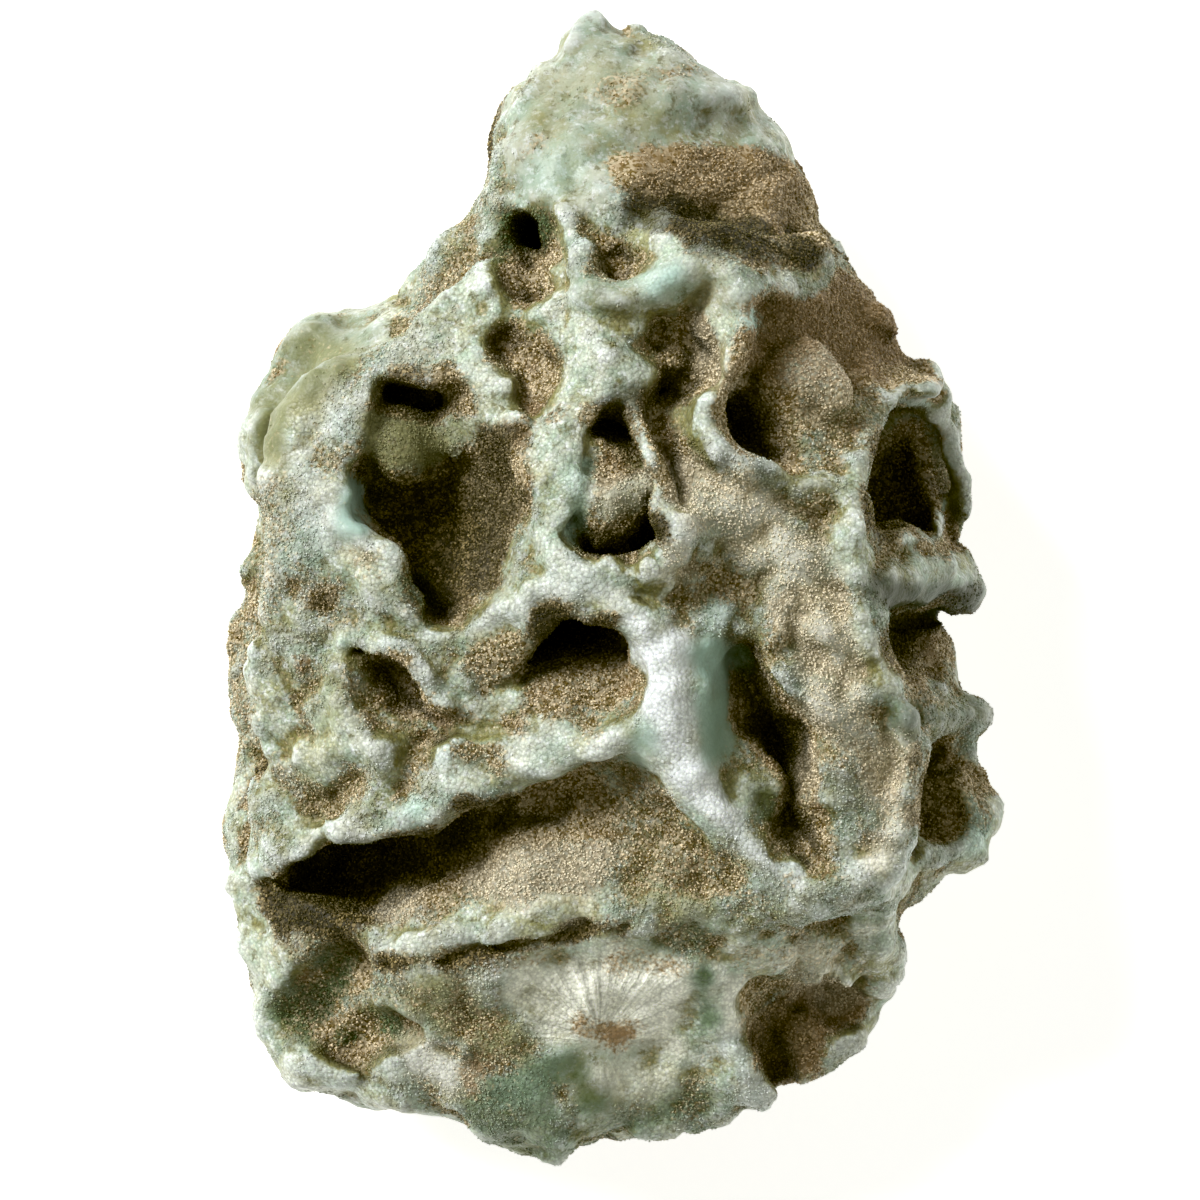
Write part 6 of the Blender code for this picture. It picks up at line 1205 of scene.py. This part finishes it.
def measure_crust(stone, points, normals):
    """The masks of the crust at each point, each from 0 to 1.

    Brown, teal, green, white, red, olive and cream are its colours, and umber is a darker brown that is
    partly painted shade in recesses. Crease is olive and painted shade in dents and creases, deep is painted
    shade where the stone hides a point and in placed dark patches, druse where grains stand on it, soft
    where it is smooth, and fan where it is rayed.
    """
    east, south = plan_places(points)
    front, sunk, hidden, (small, middle, large) = measure_relief(stone, points, normals)
    ragged = noise_at(stone, points, *RAGGED) + RAGGED_SHARE * noise_at(stone, points, *RAGGED_WIDE)
    wide, fine = noise_at(stone, points, *WIDE), noise_at(stone, points, *FINE)

    def placed(table):
        return patches(table, east, south, ragged)

    dent = rise(-(small + middle) - DENT_LARGE * large + BULGE_RAGGED * ragged, *DENTS)
    ridge = rise(middle + RIDGE_SMALL * small + RIDGE_LARGE * large + BULGE_RAGGED * ragged, *RIDGES)
    soft = placed(SOFT)
    clean = np.maximum(soft, placed(CLEAN))
    fan = placed(STREAKED) * front
    teal, green, pale = placed(TEAL) * front, placed(GREEN) * front, placed(PALE) * front
    white = np.maximum(placed(WHITE), RIDGE_WHITE * ridge) * front

    pit = rise(sunk + PIT_RAGGED * ragged, *PIT_DEPTHS) * front
    low_lying = rise(-middle - large + LOW_WIDE * wide + LOW_FINE * fine, *LOW_LYING) * (1 - fan)
    side = rise(OUTLINE_Z - points[:, 2] + SIDE_RAGGED * ragged, *SIDES)
    # Darker brown from its patches and from depth below the uncut surface: partly painted shade in recesses.
    umber_and_shade = np.maximum(placed(UMBER_AND_SHADE), rise(sunk + ragged, *UMBER_SHADE_DEPTHS) * (1 - side)) * front
    brown = reduce(np.maximum, (
        placed(BROWN) * front,
        PIT_BROWN * pit * rise(hidden, *PIT_HIDDEN),
        (1 - clean) * LOW_BROWN * low_lying * front,
        SIDE_BROWN * side * rise(wide + SIDE_WAVER * ragged, *SIDE_PATCHES),
        umber_and_shade,
    ))

    druse = np.maximum(placed(DRUSE) * front, rise(brown, *DRUSE_BROWN))
    druse = np.maximum(druse, DRUSE_LEAST * rise(wide + DRUSE_FINE * fine, *DRUSE_PATCHES))
    for less, mask in zip(DRUSE_LESS, (teal, pale, white, soft, fan)):
        druse = druse * (1 - less * mask)
    brown = brown * (1 - teal) * (1 - pale) * (1 - BROWN_ON_GREEN * green)
    # Olive and painted shade in dents, and painted shade where the stone hides a point.
    hidden_crease_shade = CREASE_HIDDEN * rise(hidden + CREASE_RAGGED * ragged, *CREASES)
    crease_olive_and_shade = np.maximum(dent * (1 - CLEAN_CREASE * clean), hidden_crease_shade) * (1 - TEAL_CREASE * teal)
    return {
        "brown": brown,
        "umber_and_shade": umber_and_shade,
        "teal": teal,
        "green": green,
        "white": white * (1 - brown) * (1 - crease_olive_and_shade),
        "crease_olive_and_shade": crease_olive_and_shade,
        # Painted shade where the stone hides a point, and in the placed dark patches.
        "deep": np.maximum(rise(hidden, *PAINTED_SHADE_HIDDEN) * (1 - teal), placed(PAINTED_SHADE_PATCHES) * front),
        "druse": druse,
        "soft": soft * (1 - fan),
        "fan": fan,
        "red": placed(RED) * front,
        "olive": placed(OLIVE_PATCHES) * front,
        "cream": placed(CREAMY) * front,
    }


class Value:
    """A number or colour that varies over a material. Numbers can be added, subtracted and multiplied."""

    def __init__(self, nodes, socket):
        self.nodes, self.socket = nodes, socket

    def __add__(self, other):
        return self.nodes.math("ADD", self, other)

    def __sub__(self, other):
        return self.nodes.math("SUBTRACT", self, other)

    def __rsub__(self, other):
        return self.nodes.math("SUBTRACT", other, self)

    def __mul__(self, other):
        return self.nodes.math("MULTIPLY", self, other)

    def beside(self, output):
        """Another output of the same node."""
        return Value(self.nodes, self.socket.node.outputs[output])


class Nodes:
    """Short words for building a material's nodes. Sizes are in mm."""

    def __init__(self, name):
        self.material = bpy.data.materials.new(name)
        self.material.use_nodes = True
        self.tree = self.material.node_tree
        self.shader = self.tree.nodes["Principled BSDF"]
        self.place = self.add("TexCoord", {}, "Object")

    def put(self, values, node):
        """Links each value that varies to the node's input of that name, and sets the others on it."""
        for key, value in values.items():
            if isinstance(value, Value):
                self.tree.links.new(value.socket, node.inputs[key])
            else:
                node.inputs[key].default_value = value

    def add(self, kind, values, output=0, **settings):
        """Adds a node with these inputs and settings, and returns one of its outputs."""
        node = self.tree.nodes.new("ShaderNode" + kind)
        for key, setting in settings.items():
            setattr(node, key, setting)
        self.put(values, node)
        return Value(self, node.outputs[output])

    def math(self, operation, a, b):
        return self.add("Math", {0: a, 1: b}, operation=operation)

    def mask(self, name):
        return self.add("Attribute", {}, "Fac", attribute_name=name)

    def noise(self, size, detail=2.0, rough=0.5):
        """Noise whose features are about this size, 0 to 1."""
        scale = 1 / (size * METRES)
        values = {"Vector": self.place, "Scale": scale, "Detail": detail, "Roughness": rough}
        return self.add("TexNoise", values, "Fac")

    def rays(self, middle):
        """Rays out of a place on the plan: noise, 0 to 1, that changes with the direction alone."""
        shaken = self.shaken(RAY_WAVE, RAY_SHIFT)
        away = self.add("VectorMath", {0: shaken, 1: tuple(middle)}, operation="SUBTRACT")
        east = self.add("SeparateXYZ", {0: away})
        turn = self.math("ARCTAN2", east.beside(1), east)
        values = {"W": turn * RAYS, "Scale": 1.0, "Detail": RAY_DETAIL}
        return self.add("TexNoise", values, "Fac", noise_dimensions="1D")

    def shaken(self, size, shift):
        """The place, moved by up to shift in waves about this size."""
        wave = self.add("TexNoise", {"Vector": self.place, "Scale": 1 / (size * METRES)}, "Color")
        values = {0: wave, 1: (2 * shift * METRES,) * 3, 2: self.place}
        return self.add("VectorMath", values, operation="MULTIPLY_ADD")

    def cells(self, size, shift):
        """Uneven cells about this size: the distance from their middles, and a shade for each, 0 to 1."""
        values = {"Vector": self.shaken(size, shift), "Scale": 1 / (size * METRES)}
        far = self.add("TexVoronoi", values, "Distance")
        return far, self.add("SeparateColor", {"Color": far.beside("Color")})

    def step(self, value, low, high):
        """0 where value is at low, 1 where it is at high, and smooth between them."""
        values = {"Value": value, "From Min": low, "From Max": high}
        return self.add("MapRange", values, "Result", interpolation_type="SMOOTHSTEP")

    def mix(self, share, a, b):
        """Colour a where share is 0, colour b where it is 1."""
        return self.add("Mix", {0: share, 6: a, 7: b}, 2, data_type="RGBA")

    def blend(self, share, a, b):
        """Number a where share is 0, number b where it is 1."""
        return self.add("Mix", {0: share, 2: a, 3: b}, data_type="FLOAT")

    def scaled(self, colour, share):
        """The colour times a number."""
        return self.add("VectorMath", {0: colour, "Scale": share}, operation="SCALE")

    def bump(self, height, depth, strength):
        """Bump whose height of 1 stands this depth high."""
        values = {"Strength": strength, "Distance": depth * METRES, "Height": height}
        return self.add("Bump", values, "Normal")


def crust_colour(n, tone, rays, cream):
    """Mint, white, teal and brown crust, with olive and painted shade in creases, darker brown and painted
    shade in recesses, and painted shade where the stone is deep, mixed by the masks and broken up by noise.
    """
    mottled = n.noise(*MOTTLE)
    speck = n.noise(*SPECK) - 0.5
    teal, fan = n.mask("teal"), n.mask("fan")
    colour = n.mix(n.step(mottled, *MOTTLE_CREAM), MINT, CREAM)
    colour = n.mix(n.step(n.noise(*CLOUD), *CLOUD_OLIVE), colour, PALE_OLIVE)
    colour = n.mix(n.step(n.noise(*FROST), *FROST_WHITE) * FROST_SHARE, colour, WHITE_CRUST)
    colour = n.mix(n.step(n.noise(*MOSS), *MOSS_OLIVE) * MOSS_SHARE, colour, MOSS_GREEN)
    colour = n.mix(n.mask("white"), colour, WHITE_CRUST)
    colour = n.mix(fan * FAN_SHARE, colour, FAN_PALE)
    colour = n.scaled(colour, fan * (rays - 0.5) * RAY_SHADE + 1.0)
    # Olive and painted shade in creases and dents.
    colour = n.mix(n.step(n.mask("crease_olive_and_shade") + speck, *CREASE_EDGE) * CREASE_OLIVE_SHADE_SHARE, colour, CREASE_OLIVE_AND_SHADE)
    colour = n.mix(teal * n.blend(n.step(mottled, *MOTTLE_TEAL), TEAL_LEAST, 1.0), colour, TEAL_CRUST)
    colour = n.mix(n.mask("olive"), colour, PALE_OLIVE)
    colour = n.mix(n.mask("green"), colour, GREEN_CRUST)
    rust = n.math("MAXIMUM", n.mask("red"), n.step(n.noise(*RUST), *RUST_RED) * RUST_SHARE)
    browns = n.mix(n.step(tone, *BROWN_TONES), BROWN_DARK, BROWN_LIGHT)
    browns = n.mix(rust, browns, BROWN_RED)
    # Umber tones: a darker brown that is partly painted shade in recesses.
    umbers_and_shade = n.mix(n.step(tone, *UMBER_TONES), UMBER_AND_SHADE_DARK, UMBER_AND_SHADE_LIGHT)
    browns = n.mix(n.mask("umber_and_shade"), browns, umbers_and_shade)
    colour = n.mix(n.step(n.mask("brown") + speck * SPECK_BROWN, *BROWN_EDGE), colour, browns)
    colour = n.mix(n.mask("cream") * cream, colour, CREAM_LIGHT)
    # Painted shade: the colour darkened towards near black olive, and dark green on teal, in deep places and
    # dark patches.
    return n.mix(n.mask("deep") * PAINTED_SHADE_SHARE, colour, n.mix(teal, OLIVE_PAINTED_SHADE, GREEN_PAINTED_SHADE))


def finish_crust(n, colour, roughness, glow):
    """Puts colour, roughness and the depth that light reaches on the shader."""
    n.put({
        "Base Color": colour,
        "Roughness": roughness,
        "Subsurface Weight": glow,
        "Subsurface Radius": SUBSURFACE_RADIUS,
        "Subsurface Scale": SUBSURFACE_DEPTH * METRES,
        "IOR": CRUST_IOR,
        "Specular IOR Level": CRUST_SHINE,
    }, n.shader)


def crust_material(fan_middle):
    """The crust: waxy and lit from within where it is mint or white, dull where it is brown."""
    n = Nodes("aragonite_crust")
    far, shade = n.cells(SUGAR_SIZE, SUGAR_SHIFT)
    druse, soft, rays = n.mask("druse"), n.mask("soft"), n.rays(fan_middle)
    sugar = 1.0 - soft
    colour = crust_colour(n, shade, rays, CREAM_GROUND)
    # Painted shade: the crust between the druse grains is darkened.
    colour = n.scaled(colour, n.blend(druse, 1.0, GROUND_PAINTED_SHADE))
    colour = n.scaled(colour, n.blend(soft, 1.0, SOFT_SHADE))
    # Each fine crystal takes a random shade, with painted shade darkening the gaps at its edges.
    grain = n.blend(n.step(far, *SUGAR_EDGE), n.blend(shade, *SUGAR_SHADES), SUGAR_GAP_SHADE)
    colour = n.scaled(colour, n.blend(sugar, 1.0, grain))
    finish_crust(n, colour, n.blend(druse, *CRUST_ROUGHNESS), n.blend(n.mask("brown"), *GLOWS))
    height = n.noise(*GRIT) * GRIT_SHARE - far * far + n.mask("fan") * (rays * RAY_HEIGHT)
    n.put({"Normal": n.bump(height, BUMP_HEIGHT, n.blend(sugar, *BUMP_STRENGTHS))}, n.shader)
    return n.material


def druse_material(fan_middle):
    """The grains of the druse: each is its own shade of the crust under it."""
    n = Nodes("aragonite_druse")
    tone = n.mask("tone")
    colour = crust_colour(n, tone, n.rays(fan_middle), CREAM_GRAINS)
    finish_crust(n, n.scaled(colour, n.blend(tone, *GRAIN_SHADES)), GRAIN_ROUGHNESS, GRAIN_GLOW)
    return n.material


def add_object(name, data):
    """A new object in the scene."""
    thing = bpy.data.objects.new(name, data)
    bpy.context.scene.collection.objects.link(thing)
    return thing


def set_masks(mesh, masks):
    for name, values in masks.items():
        mesh.attributes.new(name, "FLOAT", "POINT").data.foreach_set("value", values.astype(np.float32))


def make_piece(name, points, faces, material, masks):
    """One piece from points in mm in the stone's frame, riding on the stone's body."""
    mesh = bpy.data.meshes.new(name)
    mesh.from_pydata((points * METRES).tolist(), [], faces.tolist())
    mesh.materials.append(material)
    set_masks(mesh, masks)
    mesh.shade_smooth()
    piece = add_object(name, mesh)
    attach(piece, "root")
    return piece


def thinned(points, faces, triangles):
    """The surface with fewer, well placed triangles: its points and its triangles."""
    mesh = bpy.data.meshes.new("fine")
    mesh.from_pydata(points.tolist(), [], faces.tolist())
    draft = add_object("fine", mesh)
    draft.modifiers.new("thin", "DECIMATE").ratio = triangles / (2 * len(faces))
    draft.modifiers.new("cut", "TRIANGULATE")
    result = bpy.data.meshes.new_from_object(draft.evaluated_get(bpy.context.evaluated_depsgraph_get()))
    place = np.empty(3 * len(result.vertices), np.float32)
    result.vertices.foreach_get("co", place)
    corners = np.empty(3 * len(result.polygons), np.int32)
    result.polygons.foreach_get("vertices", corners)
    bpy.data.objects.remove(draft)
    for spent in (result, mesh):
        bpy.data.meshes.remove(spent)
    return place.reshape(-1, 3).astype(float), corners.reshape(-1, 3)


def point_normals(points, faces):
    a, b, c = (points[faces[:, k]] for k in range(3))
    face = np.cross(b - a, c - a)
    total = np.zeros(points.shape)
    for k in range(3):
        for axis in range(3):
            total[:, axis] += np.bincount(faces[:, k], weights=face[:, axis], minlength=len(points))
    return total / np.maximum(np.linalg.norm(total, axis=1), 1e-12)[:, None]


def scatter(points, faces, masks, rng):
    """Random places on the surface, closest together where it is druse.

    Returns the faces picked, and the share of each of their corners.
    """
    a, b, c = (points[faces[:, k]] for k in range(3))
    area = np.linalg.norm(np.cross(b - a, c - a), axis=1) / 2
    weight = area * rise(masks["druse"][faces].mean(axis=1), *DRUSE_FROM)
    picked = rng.choice(len(faces), GRAINS, p=weight / weight.sum())
    u, v = rng.random(GRAINS), rng.random(GRAINS)
    fold = u + v > 1
    u, v = np.where(fold, 1 - u, u), np.where(fold, 1 - v, v)
    return picked, np.stack([1 - u - v, u, v], axis=1)


def random_turns(count, rng):
    """A random rotation matrix for each of count grains."""
    q = rng.normal(size=(count, 4))
    w, x, y, z = (q / np.linalg.norm(q, axis=1)[:, None]).T
    rows = (
        (1 - 2 * (y * y + z * z), 2 * (x * y - z * w), 2 * (x * z + y * w)),
        (2 * (x * y + z * w), 1 - 2 * (x * x + z * z), 2 * (y * z - x * w)),
        (2 * (x * z - y * w), 2 * (y * z + x * w), 1 - 2 * (x * x + y * y)),
    )
    return np.stack([np.stack(row, axis=1) for row in rows], axis=1)


def add_druse(points, faces, normals, masks, shift, fan_middle):
    """Small blunt grains strewn over the crust, as a few joined pieces from north to south."""
    rng = np.random.default_rng(GRAIN_SEED)
    picked, shares = scatter(points, faces, masks, rng)

    def between(values):
        return np.einsum("ij,ij...->i...", shares, values[faces[picked]])

    size = rng.uniform(*GRAIN_SIZES, GRAINS) * (GRAIN_LEAST + (1 - GRAIN_LEAST) * between(masks["druse"]))
    stretch = rng.uniform(*GRAIN_STRETCH, (GRAINS, 3))
    corners = GRAIN[None] * stretch[:, None, :] * size[:, None, None] / 2
    corners = np.einsum("nij,nkj->nki", random_turns(GRAINS, rng), corners)
    middle = between(points) + between(normals) * (size * rng.uniform(*GRAIN_LIFT, GRAINS))[:, None]
    corners = corners + (middle + shift)[:, None, :]
    each = len(GRAIN)
    grain_masks = {name: np.repeat(between(values), each) for name, values in masks.items()}
    grain_masks["tone"] = np.repeat(rng.random(GRAINS), each)
    material = druse_material(fan_middle)
    order = np.argsort(-between(points)[:, 1])
    for number, part in enumerate(np.array_split(order, DRUSE_PIECES), 1):
        cells = (part[:, None] * each + np.arange(each)).ravel()
        triangles = (np.arange(len(part))[:, None, None] * each + GRAIN_FACES).reshape(-1, 3)
        piece_masks = {name: values[cells] for name, values in grain_masks.items()}
        make_piece(f"druse_{number}", corners.reshape(-1, 3)[cells], triangles, material, piece_masks)


def add_stone():
    """The fine stone in place of its CAD solid, with the druse on it.

    Returns the shift from the plan's middle to the solid's.
    """
    stone = make_stone(SPACING)
    points, faces = skin(stone)
    points, faces = thinned(points, faces, BODY_TRIANGLES)
    low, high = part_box("aragonite")
    middle = (np.array(low) + np.array(high)) / 2 / METRES
    own = (points.min(axis=0) + points.max(axis=0)) / 2
    shift = np.array([middle[0] - own[0], middle[1] - own[1], 0.0])
    normals = point_normals(points, faces)
    masks = measure_crust(stone, points, normals)
    fan_height = points[masks["fan"] > FAN_CERTAIN, 2].mean()
    fan_middle = (np.array(at(*FAN, fan_height)) + shift) * METRES
    body = make_piece("stone", points + shift, faces, crust_material(fan_middle), masks)
    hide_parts("aragonite")
    add_druse(points, faces, normals, masks, shift, fan_middle)
    return shift


def add_floor():
    mesh = bpy.data.meshes.new("floor")
    half = FLOOR_SIZE / 2
    corners = [(x * half, y * half, 0) for x, y in ((-1, -1), (1, -1), (1, 1), (-1, 1))]
    mesh.from_pydata(corners, [], [(0, 1, 2, 3)])
    n = Nodes("floor_paper")
    n.put({
        "Base Color": n.mix(n.noise(FLOOR_CLOUD), FLOOR_PALE, FLOOR_WHITE),
        "Roughness": FLOOR_ROUGHNESS,
        "Emission Color": FLOOR_WHITE,
        "Emission Strength": FLOOR_GLOW,
    }, n.shader)
    mesh.materials.append(n.material)
    add_object("floor", mesh)


def add_light(name, toward, strength, soft, colour):
    """A distant lamp, shining from a direction, with soft being its width in degrees."""
    lamp = bpy.data.lights.new(name, "SUN")
    lamp.energy = strength
    lamp.angle = math.radians(soft)
    lamp.color = colour
    add_object(name, lamp).rotation_euler = Vector(toward).to_track_quat("Z", "Y").to_euler()


def add_camera(shift):
    """Straight above the stone, where the plan's eye is."""
    eye_x, eye_y, _ = at(*EYE, 0)
    lens = bpy.data.cameras.new("camera")
    lens.sensor_width = SENSOR
    lens.lens = SENSOR * (EYE_HEIGHT - OUTLINE_Z) / (PLAN_SHEET * PLAN_UNIT)
    lens.clip_start, lens.clip_end = CLIP
    camera = add_object("camera", lens)
    camera.location = ((eye_x + shift[0]) * METRES, (eye_y + shift[1]) * METRES, EYE_HEIGHT * METRES)
    bpy.context.scene.camera = camera


def set_light_and_view():
    """Two lamps, the room's own light, and a view that keeps the darkest and lightest tones."""
    add_light("window", WINDOW_FROM, WINDOW_STRENGTH, WINDOW_SOFT, WINDOW_COLOUR)
    add_light("fill", FILL_FROM, FILL_STRENGTH, FILL_SOFT, FILL_COLOUR)
    scene = bpy.context.scene
    scene.world = bpy.data.worlds.new("room")
    scene.world.use_nodes = True
    background = scene.world.node_tree.nodes["Background"]
    background.inputs["Color"].default_value = ROOM_COLOUR
    background.inputs["Strength"].default_value = ROOM_STRENGTH
    scene.view_settings.view_transform = "Standard"
    scene.view_settings.look = "None"
    scene.view_settings.use_curve_mapping = True
    curve = scene.view_settings.curve_mapping
    curve.black_level = BLACK
    curve.white_level = WHITE_POINT
    curve.update()


def main():
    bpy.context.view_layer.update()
    shift = add_stone()
    add_floor()
    set_light_and_view()
    add_camera(shift)


main()
